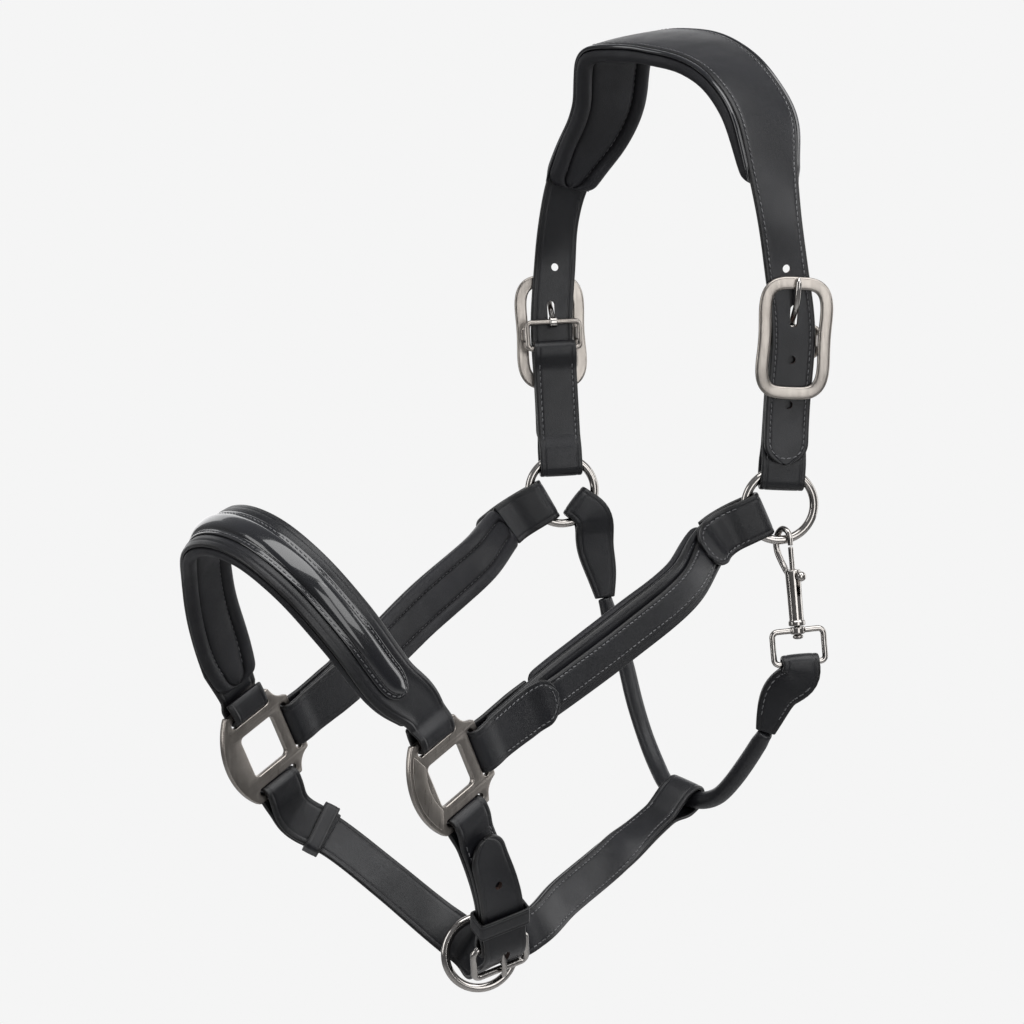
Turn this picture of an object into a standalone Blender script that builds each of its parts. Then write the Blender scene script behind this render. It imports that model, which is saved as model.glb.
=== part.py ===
"""Leather headcollar (halter) in the shape it takes on a horse's head.

Lengths in this file are millimetres and are turned into metres when a mesh is made. +Z is up, the
horse faces -Y, and its left side, the near side with the snap hook, is +X. The origin is at the
poll: the middle of the underside of the crown's lining, which is where the horse's head carries it.
Each strap is a flat section swept along a route of hand-placed points. Every route point holds a
place, the direction that the strap's outer face looks in, and the strap's width there.
"""

import math

import bmesh
import bpy
import numpy as np
from mathutils import Matrix, Vector

# ---- driving dimensions, mm ----
STRAP_WIDTH = 25.0
STRAP_THICK = 2.4
EDGE = 0.7
GAP = 0.4
LAY = STRAP_THICK / 2 + 0.3          # half the distance between the two layers of a doubled strap

RING_OUTER = 44.0
RING_WIRE = 2.5
RING_R = RING_OUTER / 2 - RING_WIRE
RING_AT = (86.0, -3.0, -250.0)       # near ring; the far one is at -X
RING_YAW = -36.0                     # how far the rings and the straps above them turn to the front
RING_LEAN = 4.5                      # how far those straps lean outwards
RING_FOLD = 14.0                     # from a ring's centre to the axis of a fold round its wire
RING_FOLD_R = RING_WIRE + 0.65 + STRAP_THICK / 2

SQUARE_AT = (74.5, -244.0, -378.0)   # near halter square; the far one is at -X
CHEEK_DIP = 27.7                     # slope of the cheekpiece, degrees down to the front
WINDOW_HALF = 12.5
SLOT_IN = 19.6
SLOT_OUT = 23.6
SLOT_HALF = 14.2
BAR_OUT = 27.0
PLATE = 3.4
BAR_FOLD_R = PLATE / 2 + 1.15 + STRAP_THICK / 2

HOLE_STEP = 25.0
HOLE_R = 2.4
HOLE_DEEP = 7.0
TONGUE_HOLE_HALF = 4.0               # half the straight sides of the oblong hole round a headpiece tongue
TONGUE_HOLE_LOWER = 0.8              # how far that hole reaches down, for the tongue to lift
CHIN_HOLE_HALF = 3.4

# ---- headpiece buckles, in the frame of the strap that carries them ----
BUCKLE_V = 94.0
FRAME_WIDE = 44.0
FRAME_TALL = 68.0
FRAME_BAR = 7.2
FRAME_THICK = 2.8
FRAME_OUT = 8.4
FRAME_BOW = 2.2
BRACKET_N = -1.7
BRACKET_TOP = BUCKLE_V + 5.5
BRACKET_LOW = BUCKLE_V - 10.0
BRACKET_WIRE = 1.6
BRACKET_HALF = 15.6
BILLET_N = 4.7

MM = 0.001
NEAR = 1
FAR = -1
SIDES = (("near", NEAR), ("far", FAR))
ZUP = np.array((0.0, 0.0, 1.0))


# ---- vectors and frames ----
def unit(vector):
    vector = np.asarray(vector, float)
    return vector / np.linalg.norm(vector)


def square_to(vector, axis):
    """The part of vector that is square to axis, at unit length."""
    return unit(vector - np.dot(vector, axis) * axis)


class Frame:
    """A place with an h axis across the strap, an n axis out of its face and a v axis along it."""

    def __init__(self, origin, h, n, v):
        self.origin = np.asarray(origin, float)
        self.h = unit(h)
        self.n = unit(n)
        self.v = unit(v)

    def at(self, h=0.0, n=0.0, v=0.0):
        return self.origin + h * self.h + n * self.n + v * self.v

    def moved(self, h=0.0, n=0.0, v=0.0):
        return Frame(self.at(h, n, v), self.h, self.n, self.v)


def ring_frame(side):
    """h points back along the ring, n outwards through it and v up the strap above it."""
    yaw = math.radians(RING_YAW)
    lean = math.radians(RING_LEAN)
    v = np.array((side * math.sin(lean), 0.0, math.cos(lean)))
    n = square_to(side * np.array((math.cos(yaw), math.sin(yaw), 0.0)), v)
    h = side * np.cross(v, n)
    return Frame((side * RING_AT[0], RING_AT[1], RING_AT[2]), h, n, v)


def square_frame(side):
    """h runs along the cheekpiece to the ring, v runs towards the noseband."""
    dip = math.radians(CHEEK_DIP)
    h = (0.0, math.cos(dip), math.sin(dip))
    v = (0.0, -math.sin(dip), math.cos(dip))
    return Frame((side * SQUARE_AT[0], SQUARE_AT[1], SQUARE_AT[2]), h, (side, 0.0, 0.0), v)


# ---- objects and materials ----
def clear_scene():
    for obj in list(bpy.data.objects):
        bpy.data.objects.remove(obj, do_unlink=True)


def material(name, colour, roughness, metallic=0.0):
    made = bpy.data.materials.new(name)
    made.use_nodes = True
    shader = made.node_tree.nodes["Principled BSDF"]
    shader.inputs["Base Color"].default_value = (*colour, 1.0)
    shader.inputs["Roughness"].default_value = roughness
    shader.inputs["Metallic"].default_value = metallic
    made.diffuse_color = (*colour, 1.0)
    return made


def leather(name):
    return material(name + "_leather", (0.020, 0.022, 0.028), 0.42)


def lining_leather(name):
    return material(name + "_soft_leather", (0.014, 0.015, 0.018), 0.6)


def patent(name):
    return material(name + "_patent", (0.008, 0.009, 0.012), 0.06)


def foam(name):
    return material(name + "_foam", (0.10, 0.10, 0.11), 0.9)


def gunmetal(name):
    return material(name + "_gunmetal", (0.22, 0.20, 0.18), 0.3, 1.0)


def steel(name):
    return material(name + "_steel", (0.45, 0.45, 0.46), 0.3, 1.0)


def fill_mesh(mesh, points, faces):
    """Writes the faces into the mesh, shades them smooth and turns them to face outwards."""
    mesh.from_pydata([tuple(p) for p in points], [], faces)
    work = bmesh.new()
    work.from_mesh(mesh)
    if work.calc_volume(signed=True) < 0:
        bmesh.ops.reverse_faces(work, faces=work.faces)
    work.to_mesh(mesh)
    work.free()
    mesh.shade_smooth()
    mesh.set_sharp_from_angle(angle=math.radians(38))


def add_object(name, points, faces, finish, origin=(0.0, 0.0, 0.0)):
    """Makes an object whose points are given in world millimetres, with its origin at origin."""
    origin = np.asarray(origin, float)
    mesh = bpy.data.meshes.new(name)
    fill_mesh(mesh, (np.asarray(points, float) - origin) * MM, faces)
    mesh.materials.append(finish(name))
    obj = bpy.data.objects.new(name, mesh)
    obj.location = Vector(origin * MM)
    bpy.context.scene.collection.objects.link(obj)
    return obj


def add_boolean(obj, other, operation):
    other.hide_render = True
    other.display_type = "WIRE"
    change = obj.modifiers.new(other.name, "BOOLEAN")
    change.operation = operation
    change.object = other
    change.solver = "EXACT"


# ---- routes ----
def smooth_route(rows, count):
    """A smooth curve through rows, read at count equal steps. Columns after the third ride along."""
    rows = np.asarray(rows, float)
    steps = np.linalg.norm(np.diff(rows[:, :3], axis=0), axis=1)
    slopes = np.diff(rows, axis=0) / steps[:, None]
    inner = (slopes[:-1] * steps[1:, None] + slopes[1:] * steps[:-1, None])
    inner = inner / (steps[1:] + steps[:-1])[:, None]
    tangents = np.vstack((slopes[:1], inner, slopes[-1:]))
    dense = []
    for i, length in enumerate(steps):
        for t in np.linspace(0.0, 1.0, 24, endpoint=False):
            a = 2 * t**3 - 3 * t**2 + 1
            b = t**3 - 2 * t**2 + t
            c = -2 * t**3 + 3 * t**2
            d = t**3 - t**2
            slope = b * length * tangents[i] + d * length * tangents[i + 1]
            dense.append(a * rows[i] + c * rows[i + 1] + slope)
    dense.append(rows[-1])
    dense = np.array(dense)
    run = run_of(dense[:, :3])
    at = np.linspace(0.0, run[-1], count)
    return np.stack([np.interp(at, run, dense[:, k]) for k in range(dense.shape[1])], axis=1)


def row(place, normal, width=STRAP_WIDTH):
    return (*place, *unit(normal), width)


def strap_route(rows, count):
    """(places, outward normals, widths, directions) at count stations of a strap's middle line."""
    fine = 8
    read = smooth_route(rows, (count - 1) * fine + 1)
    along = directions(read[:, :3])[::fine]
    read = read[::fine]
    normals = np.array([square_to(n, t) for n, t in zip(read[:, 3:6], along)])
    return read[:, :3], normals, read[:, 6], along


def run_of(places):
    """The distance along places at each of them."""
    return np.concatenate(([0.0], np.cumsum(np.linalg.norm(np.diff(places, axis=0), axis=1))))


def directions(places, closed=False):
    if closed:
        along = np.roll(places, -1, axis=0) - np.roll(places, 1, axis=0)
    else:
        along = np.gradient(places, axis=0)
    return along / np.linalg.norm(along, axis=1)[:, None]


def ease(distance, length):
    """1 up to distance 0, falling smoothly to 0 at length."""
    t = np.clip(distance / length, 0.0, 1.0)
    return 1.0 - t * t * (3.0 - 2.0 * t)


class Fold:
    """A strap's turn round a bar or a wire.

    radius is the turn's, to the middle of the leather. The two layers keep that distance for hold mm
    and then close up over close mm to lay and back_lay from the route. back is the length of the
    turned-back layer, and offset moves the turn's centre out of the route.
    """

    def __init__(self, radius, hold, close, back=30.0, lay=LAY, back_lay=None, offset=0.0):
        self.radius = radius
        self.hold = hold
        self.close = close
        self.offset = offset
        self.back = back
        self.lay = lay
        self.back_lay = lay if back_lay is None else back_lay


ARC_STEPS = 6                        # steps round a fold's half circle
TIP_STEPS = (0.0, 0.04, 0.16, 0.38, 0.68, 1.0)   # where a rounded tip is read, in radii from its end
TIP_SHARE = 0.85                     # how much of the half width a tip's rounding takes


def turn(place, normal, along, width, radius):
    """Stations round the half circle from +normal over along to -normal."""
    for step in range(1, ARC_STEPS):
        angle = math.pi * step / ARC_STEPS
        out = math.cos(angle) * normal + math.sin(angle) * along
        way = math.cos(angle) * along - math.sin(angle) * normal
        yield (place + radius * out, out, width, way)


def folded_stations(route, start=None, end=None, closed=False):
    """Stations of a strap that runs on the outer side of its route and folds back at its ends."""
    places, normals, widths, along = route
    run = run_of(places)
    left = run[-1] - run
    out = np.zeros(len(run))
    back = np.zeros(len(run))
    for fold, away in ((start, run), (end, left)):
        if fold is None:
            continue
        near = ease(away - fold.hold, fold.close)
        out = np.maximum(out, fold.lay + (fold.radius + fold.offset - fold.lay) * near)
        back = np.maximum(back, fold.back_lay + (fold.radius - fold.offset - fold.back_lay) * near)
    outer = [(p + o * n, n, w, t) for p, n, w, t, o in zip(*route, out)]
    inner = [(p - b * n, -n, w, -t) for p, n, w, t, b in zip(*route, back)]
    stations = list(outer)
    last = len(run) - 1
    if end is not None:
        middle = places[last] + end.offset * normals[last]
        stations += list(turn(middle, normals[last], along[last], widths[last], end.radius))
        if not closed:
            stations += [inner[i] for i in range(last, -1, -1) if left[i] <= end.back]
    if closed:
        stations += inner[::-1]
    if start is not None:
        middle = places[0] + start.offset * normals[0]
        arc = list(turn(middle, -normals[0], -along[0], widths[0], start.radius))
        if closed:
            stations += arc
        else:
            lead = [inner[i] for i in range(last, -1, -1) if run[i] <= start.back]
            stations = lead + arc + stations
    return stations


# ---- sections and sweeps ----
def flat_section(width, thick, edge=EDGE):
    """A flat strap's section with its four edges taken off, as (across, out) points."""
    a = width / 2
    b = thick / 2
    edge = min(edge, 0.45 * thick)
    return [(-a, -b + edge), (-a + edge, -b), (a - edge, -b), (a, -b + edge),
            (a, b - edge), (a - edge, b), (-a + edge, b), (-a, b - edge)]


def tray_section(width, deep, wall):
    """A lining's channel: open on its outer side, with soft rolled lower corners."""
    a = width / 2
    c = deep * 0.4
    b = a - wall
    d = deep - wall
    e = c - 0.586 * wall
    return [(-a, 0), (-a, -deep + c), (-a + c, -deep), (a - c, -deep), (a, -deep + c), (a, 0),
            (b, 0), (b, -d + e), (b - e, -d), (-b + e, -d), (-b, -d + e), (-b, 0)]


def filling_section(width, deep, wall, clear):
    """The foam that fills a lining's channel, clear mm inside it all round."""
    a = width / 2 - wall - clear
    d = deep - wall - clear
    e = max(deep * 0.4 - 0.586 * wall, 0.4)
    return [(-a, -clear), (-a, -d + e), (-a + e, -d), (a - e, -d), (a, -d + e), (a, -clear)]


def round_section(radius, sides=10):
    angles = [2 * math.pi * k / sides for k in range(sides)]
    return [(radius * math.cos(t), radius * math.sin(t)) for t in angles]


def sweep_points(places, normals, sections, closed=False, along=None):
    """Points and faces of sections carried along places, capped at both ends unless closed.

    Each four-sided patch is split on the same diagonal, so that twisted layers keep their distance.
    """
    if along is None:
        along = directions(places, closed)
    points = []
    for place, normal, t, section in zip(places, normals, along, sections):
        n = square_to(normal, t)
        across = np.cross(t, n)
        points += [place + x * across + y * n for x, y in section]
    size = len(sections[0])
    count = len(places)
    faces = []
    for i in range(count if closed else count - 1):
        this = i * size
        after = ((i + 1) % count) * size
        for j in range(size):
            k = (j + 1) % size
            if sections[i][j][0] < sections[i][k][0]:
                faces += [(this + j, this + k, after + k), (this + j, after + k, after + j)]
            else:
                faces += [(this + j, this + k, after + j), (this + k, after + k, after + j)]
    if not closed:
        faces.append(tuple(range(size - 1, -1, -1)))
        faces.append(tuple(range((count - 1) * size, count * size)))
    return points, faces


def sweep(name, stations, section, finish, closed=False, origin=None):
    """A strap swept along stations; section(width) gives the outline at each."""
    places, normals, along = (np.array([s[k] for s in stations]) for k in (0, 1, 3))
    sections = [section(s[2]) for s in stations]
    points, faces = sweep_points(places, normals, sections, closed, along)
    middle = places[len(places) // 2] if origin is None else origin
    return add_object(name, points, faces, finish, middle)


def flat_strap(name, stations, finish=leather, thick=STRAP_THICK, closed=False):
    return sweep(name, stations, lambda width: flat_section(width, thick), finish, closed)


def offset_stations(route, out, width=None):
    """Stations of a layer that lies out mm off the route's middle line, at the route's width or its own."""
    return [(p + out * n, n, w if width is None else width, t) for p, n, w, t in zip(*route)]


def part_of(route, first, last):
    """The stations of a route between two distances from its start."""
    run = run_of(route[0])
    keep = (run >= first) & (run <= last)
    return tuple(column[keep] for column in route)


def route_length(route):
    return float(run_of(route[0])[-1])


def round_ends(stations, radius, at_start, at_end):
    """Finishes a strap in a rounded tip at one or both ends, with its stations set close together there."""
    columns = [np.array([s[k] for s in stations], float) for k in range(4)]
    run = run_of(columns[0])
    total = run[-1]
    tip = radius * np.array(TIP_STEPS)
    low = 1.2 * radius if at_start else -1.0
    high = total - 1.2 * radius if at_end else total + 1.0
    at = run[(run > low) & (run < high)]
    if at_start:
        at = np.concatenate((tip, at))
    if at_end:
        at = np.concatenate((at, total - tip[::-1]))
    made = []
    for s in at:
        place, normal, width, way = (read_at(s, run, column) for column in columns)
        away = min(s if at_start else total, total - s if at_end else total)
        reach = 1.0 - min(away / radius, 1.0)
        width = width - 2 * TIP_SHARE * radius * (1.0 - math.sqrt(1.0 - reach * reach))
        made.append((place, square_to(normal, way), width, unit(way)))
    return made


def read_at(distance, run, column):
    """A column's value at a distance along its run."""
    if column.ndim == 1:
        return float(np.interp(distance, run, column))
    return np.array([np.interp(distance, run, column[:, k]) for k in range(column.shape[1])])


# ---- metal pieces ----
def rounded_box_path(half_wide, half_tall, radius, corner_steps=5):
    """A closed path round a rectangle with rounded corners, as (h, v) points."""
    path = []
    for turn_no, (sx, sy) in enumerate(((1, 1), (-1, 1), (-1, -1), (1, -1))):
        for step in range(corner_steps + 1):
            angle = math.pi / 2 * (turn_no + step / corner_steps)
            x = sx * (half_wide - radius) + radius * math.cos(angle)
            y = sy * (half_tall - radius) + radius * math.sin(angle)
            path.append((x, y))
    return path


def wire_loop(name, frame, path, radius, finish=gunmetal, origin=None, sides=10):
    """A closed wire of round section along an (h, v) path in the frame's plane."""
    places = np.array([frame.at(h=x, v=y) for x, y in path])
    normals = np.array([frame.n] * len(path))
    sections = [round_section(radius, sides)] * len(path)
    points, faces = sweep_points(places, normals, sections, closed=True)
    return add_object(name, points, faces, finish, frame.origin if origin is None else origin)


def ring(name, frame, segments=32, sides=8):
    path = [(RING_R * math.cos(2 * math.pi * k / segments), RING_R * math.sin(2 * math.pi * k / segments))
            for k in range(segments)]
    return wire_loop(name, frame, path, RING_WIRE, gunmetal, frame.origin, sides)


def block(name, frame, h, n, v, finish):
    """A box in a frame, from (low, high) pairs along h, n and v."""
    points = [frame.at(a, b, c) for a in h for b in n for c in v]
    faces = [(0, 1, 3, 2), (4, 6, 7, 5), (0, 4, 5, 1), (2, 3, 7, 6), (0, 2, 6, 4), (1, 5, 7, 3)]
    return add_object(name, points, faces, finish, frame.origin)


def turned(name, origin, axis, profile, finish, sides=16):
    """A solid turned round axis from (radius, height) points; the first and last are on the axis."""
    axis = unit(axis)
    side_way = square_to(np.array((0.31, 0.9, 0.27)), axis)
    other = np.cross(axis, side_way)
    origin = np.asarray(origin, float)
    points = [origin + profile[0][1] * axis]
    rims = profile[1:-1]
    for radius, height in rims:
        for k in range(sides):
            angle = 2 * math.pi * k / sides
            round_way = math.cos(angle) * side_way + math.sin(angle) * other
            points.append(origin + height * axis + radius * round_way)
    points.append(origin + profile[-1][1] * axis)
    faces = []
    for k in range(sides):
        j = (k + 1) % sides
        faces.append((0, 1 + j, 1 + k))
        for i in range(len(rims) - 1):
            this = 1 + i * sides
            after = this + sides
            faces.append((this + k, this + j, after + j, after + k))
        last = 1 + (len(rims) - 1) * sides
        faces.append((last + k, last + j, len(points) - 1))
    return add_object(name, points, faces, finish, origin)


def rod(name, places, radii, finish, sides=10, normal=ZUP, origin=None):
    """A round bar along places with its own radius at each, capped flat at both ends."""
    places = np.array(places, float)
    normals = np.array([normal] * len(places))
    sections = [round_section(r, sides) for r in radii]
    points, faces = sweep_points(places, normals, sections)
    return add_object(name, points, faces, finish, places[0] if origin is None else origin)


# ---- headpiece buckle: frame with its bracket, and its tongue ----
def frame_path():
    """The buckle frame's middle line: a tall rounded window with waisted sides."""
    half_wide = (FRAME_WIDE - FRAME_BAR) / 2
    half_tall = (FRAME_TALL - FRAME_BAR) / 2
    path = []
    steps = 28
    for k in range(steps):
        angle = 2 * math.pi * k / steps
        c = math.cos(angle)
        s = math.sin(angle)
        x = half_wide * math.copysign(abs(c) ** 0.52, c)
        y = half_tall * math.copysign(abs(s) ** 0.52, s)
        waist = 1.0 - 0.09 * math.cos(math.pi * y / (2 * half_tall)) ** 2
        path.append((x * waist, y))
    return path


def headpiece_buckle(label, frame):
    """One cast piece: the bowed frame, two lugs, and behind it the bracket with its two bars."""
    half_tall = FRAME_TALL / 2
    places = []
    for x, y in frame_path():
        bow = FRAME_BOW * math.cos(math.pi * y / (2 * half_tall))
        places.append(frame.at(h=x, n=FRAME_OUT + bow, v=BUCKLE_V + y))
    section = flat_section(FRAME_BAR, FRAME_THICK, 0.6)
    points, faces = sweep_points(
        np.array(places), np.array([frame.n] * len(places)), [section] * len(places), closed=True)
    piece = add_object(label + "_headpiece_buckle", points, faces, gunmetal, frame.at(v=BUCKLE_V))
    middle = (BRACKET_TOP + BRACKET_LOW) / 2
    half_high = (BRACKET_TOP - BRACKET_LOW) / 2
    bracket = wire_loop(
        label + "_bracket", frame.moved(n=BRACKET_N, v=middle),
        rounded_box_path(BRACKET_HALF, half_high, 2.6, 3), BRACKET_WIRE, sides=8)
    add_boolean(piece, bracket, "UNION")
    for hand, sign in (("back", 1), ("front", -1)):
        across = sorted((sign * 14.6, sign * 17.4))
        lug = block(f"{label}_{hand}_lug", frame, across, (BRACKET_N - 0.7, FRAME_OUT + 1.4),
                    (middle - 2.6, middle + 4.4), gunmetal)
        add_boolean(piece, lug, "UNION")
    return piece


def prong(name, frame, axis_at, route, radius, barrel_half, bar_radius):
    """A buckle tongue: a barrel that turns on its bar, and a bent prong from it."""
    barrel_sides = 14
    inner = bar_radius + 0.3
    outer = inner + 1.5
    centre = frame.at(*axis_at)
    points = []
    for h in (-barrel_half, barrel_half):
        for r in (inner, outer):
            for k in range(barrel_sides):
                angle = 2 * math.pi * k / barrel_sides
                spoke = math.cos(angle) * frame.n + math.sin(angle) * frame.v
                points.append(centre + h * frame.h + r * spoke)
    s = barrel_sides
    faces = []
    for k in range(s):
        j = (k + 1) % s
        faces.append((k, j, s + j, s + k))
        faces.append((2 * s + k, 3 * s + k, 3 * s + j, 2 * s + j))
        faces.append((s + k, s + j, 3 * s + j, 3 * s + k))
        faces.append((k, 2 * s + k, 2 * s + j, j))
    barrel = add_object(name, points, faces, gunmetal, centre)
    line = smooth_route([frame.at(n=n, v=v) for n, v in route], 12)
    radii = [radius] * (len(line) - 2) + [radius * 0.85, radius * 0.5]
    arm = rod(name + "_arm", line, radii, gunmetal, 8, frame.h)
    add_boolean(barrel, arm, "UNION")
    return barrel


def headpiece_tongue(label, frame):
    top_bar = BUCKLE_V + FRAME_TALL / 2 - FRAME_BAR / 2
    over = FRAME_OUT + FRAME_THICK / 2 + GAP + 2.0
    route = [(BRACKET_N + 2.0, BRACKET_TOP + 2.2), (BILLET_N - 0.6, BRACKET_TOP + 6.4),
             (FRAME_OUT + 1.4, BRACKET_TOP + 12.5), (over, top_bar - 5.0), (over + 0.5, top_bar),
             (over - 0.2, top_bar + 3.4)]
    return prong(
        label + "_headpiece_tongue", frame, (0.0, BRACKET_N, BRACKET_TOP), route, 1.6, 2.2, BRACKET_WIRE)


def ring_fold(back=30.0, lay=LAY):
    """The turn of a strap round a ring's wire."""
    return Fold(RING_FOLD_R, 8.5, 12.0, back, lay)


def short_cheek_strap(label, frame):
    """The doubled strap between a ring and the lower bar of the buckle's bracket."""
    rows = [row(frame.at(v=RING_FOLD), frame.n), row(frame.at(v=BRACKET_LOW), frame.n)]
    top = Fold(BRACKET_WIRE + GAP + STRAP_THICK / 2, 2.0, 12.0, offset=BRACKET_N)
    stations = folded_stations(strap_route(rows, 14), ring_fold(), top, True)
    return flat_strap(label + "_short_cheek_strap", stations, closed=True)


# ---- halter square ----
def arc_points(centre, radius, first, last, steps):
    """Points on an arc, angles in degrees."""
    made = []
    for k in range(steps + 1):
        angle = math.radians(first + (last - first) * k / steps)
        made.append((centre[0] + radius * math.cos(angle), centre[1] + radius * math.sin(angle)))
    return made


def square_outline():
    """The plate's edge: three strap bars with hollows between them, and a wide curved front."""
    bar = BAR_OUT
    half = SLOT_HALF + 2.6
    hollow = 9.0
    outline = [(bar, -half + 2), (bar + 0.4, 0), (bar, half - 2)]
    outline += arc_points((bar + 1.2, bar + 1.2), hollow + 2.2, 265, 185, 6)
    outline += [(half - 2, bar), (0, bar + 0.4), (-half + 2, bar)]
    front = arc_points((13.0, 0.0), 40.5, 135, 222, 14)
    outline += front
    outline += [(-half + 4, -bar), (0, -bar - 0.4), (half - 2, -bar)]
    outline += arc_points((bar + 1.2, -bar - 1.2), hollow + 2.2, 175, 95, 6)
    return outline


def slot_outline(centre, along_v):
    """A strap slot with round ends, along h or along v."""
    half_thin = (SLOT_OUT - SLOT_IN) / 2
    half_long = SLOT_HALF - half_thin
    ends = arc_points((half_long, 0), half_thin, -90, 90, 4)
    ends += arc_points((-half_long, 0), half_thin, 90, 270, 4)
    if along_v:
        ends = [(-y, x) for x, y in ends]
    return [(centre[0] + x, centre[1] + y) for x, y in ends]


def window_outline():
    corner = 2.6
    return rounded_box_path(WINDOW_HALF, WINDOW_HALF, corner, 3)


def crescent_outline():
    """The raised land on the square's curved front."""
    outer = arc_points((13.0, 0.0), 38.6, 143, 216, 12)
    inner = arc_points((13.0, 0.0), 29.2, 207, 153, 10)
    return outer + inner


def flat_plate(name, frame, outlines, low, high, finish):
    """A plate with holes, from (h, v) outlines, between two heights along the frame's n."""
    curve = bpy.data.curves.new(name + "_outline", "CURVE")
    curve.dimensions = "2D"
    curve.fill_mode = "BOTH"
    curve.extrude = (high - low) / 2 * MM
    for outline in outlines:
        line = curve.splines.new("POLY")
        line.points.add(len(outline) - 1)
        for point, (x, y) in zip(line.points, outline):
            point.co = (x * MM, y * MM, 0.0, 1.0)
        line.use_cyclic_u = True
    drawn = bpy.data.objects.new(name + "_outline", curve)
    bpy.context.scene.collection.objects.link(drawn)
    bpy.context.view_layer.update()
    graph = bpy.context.evaluated_depsgraph_get()
    mesh = bpy.data.meshes.new_from_object(drawn.evaluated_get(graph))
    bpy.data.objects.remove(drawn)
    mesh.name = name
    work = bmesh.new()
    work.from_mesh(mesh)
    bmesh.ops.remove_doubles(work, verts=work.verts, dist=0.00001)
    work.to_mesh(mesh)
    work.free()
    middle = frame.at(n=(low + high) / 2)
    turn_to = Matrix(((frame.h[0], frame.v[0], frame.n[0]), (frame.h[1], frame.v[1], frame.n[1]),
                      (frame.h[2], frame.v[2], frame.n[2])))
    points = [np.array(turn_to @ v.co) / MM + middle for v in mesh.vertices]
    faces = [tuple(p.vertices) for p in mesh.polygons]
    return add_object(name, points, faces, finish, middle)


def halter_square(label, frame):
    h_slot = ((SLOT_IN + SLOT_OUT) / 2, 0.0)
    outlines = [square_outline(), window_outline(), slot_outline(h_slot, True)]
    outlines += [slot_outline((0.0, s * h_slot[0]), False) for s in (1, -1)]
    plate = flat_plate(label + "_square", frame, outlines, -PLATE / 2, PLATE / 2, gunmetal)
    land = flat_plate(label + "_land", frame, [crescent_outline()], 0.0, PLATE / 2 + 0.5, gunmetal)
    add_boolean(plate, land, "UNION")
    return plate


# ---- cheekpieces ----
CHEEK_WIDTH = 31.5
CHEEK_BASE_THICK = 3.0
STRIP_THICK = 2.0
STRIP_WIDTH = 17.0
LINING_DEEP = 5.0
LINING_WALL = 1.2
CHEEK_STATIONS = 21
NEAR_SAG = 5.0                       # how far the near cheekpiece hangs below a straight line
FAR_SAG = 0.0


def cheek_route(side):
    """The cheekpiece's middle line, from the fold round the ring to the fold round the square."""
    top = ring_frame(side)
    low = square_frame(side)
    down_front = unit(-math.cos(math.radians(CHEEK_DIP)) * top.h - math.sin(math.radians(CHEEK_DIP)) * top.v)
    start = top.origin + RING_FOLD * down_front
    bar = (SLOT_OUT + BAR_OUT) / 2
    end = low.at(h=bar)
    outwards = np.array((side, 0.0, 0.0))
    sag = NEAR_SAG if side == NEAR else FAR_SAG
    middle = top.n * 0.5 + low.n * 0.5
    rows = [row(start, top.n, 25.0), row(start + 20 * down_front, top.n, 25.5),
            row(start * 0.72 + end * 0.28 + 0.6 * outwards - sag * ZUP, middle, CHEEK_WIDTH - 2),
            row(start * 0.5 + end * 0.5 + 1.5 * outwards - 0.75 * sag * ZUP, low.n, CHEEK_WIDTH),
            row(low.at(h=bar + 56, n=1.0) - 0.25 * sag * ZUP, low.n, CHEEK_WIDTH - 2),
            row(low.at(h=bar + 20), low.n, 26.0), row(end, low.n, 25.0)]
    return strap_route(rows, CHEEK_STATIONS)


def backwards(route):
    places, normals, widths, along = (column[::-1] for column in route)
    return places, normals, widths, -along


def cheekpiece(label, side):
    route = cheek_route(side)
    whole = route_length(route)
    chape_out = CHEEK_BASE_THICK / 2 + GAP + STRAP_THICK / 2
    base = part_of(route, 18.0, whole - 12.0)
    sweep(label + "_cheek_base", offset_stations(base, 0.0),
          lambda w: flat_section(w - 3.0, CHEEK_BASE_THICK), leather)
    for end_name, flip, long in (("ring", False, 44.0), ("square", True, 54.0)):
        places, normals, widths, along = backwards(route) if flip else route
        piece = part_of((places, normals, np.minimum(widths, 27.0), along), 0.0, long)
        fold = Fold(BAR_FOLD_R, 3.0, 10.0, 26.0, chape_out) if flip else ring_fold(28.0, chape_out)
        stations = folded_stations(piece, fold)
        flat_strap(f"{label}_cheek_{end_name}_chape", round_ends(stations, 11.0, False, True))
    strip = part_of(route, 47.0, whole - 57.0)
    strip_out = CHEEK_BASE_THICK / 2 + 0.6 + STRIP_THICK / 2
    sweep(label + "_cheek_strip", offset_stations(strip, strip_out, STRIP_WIDTH),
          lambda w: flat_section(w, STRIP_THICK), leather)
    under = part_of(route, 30.0, whole - 32.0)
    top_of_lining = -(CHEEK_BASE_THICK / 2 + 0.3)
    sweep(label + "_cheek_lining", offset_stations(under, top_of_lining),
          lambda w: tray_section(w, LINING_DEEP, LINING_WALL), lining_leather)
    filling = part_of(route, 32.0, whole - 34.0)
    sweep(label + "_cheek_foam", offset_stations(filling, top_of_lining),
          lambda w: filling_section(w, LINING_DEEP, LINING_WALL, GAP), foam)


# ---- noseband ----
NOSE_WIDTH = 36.0
NOSE_BASE_THICK = 3.0
PATENT_WIDTH = 18.0


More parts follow.
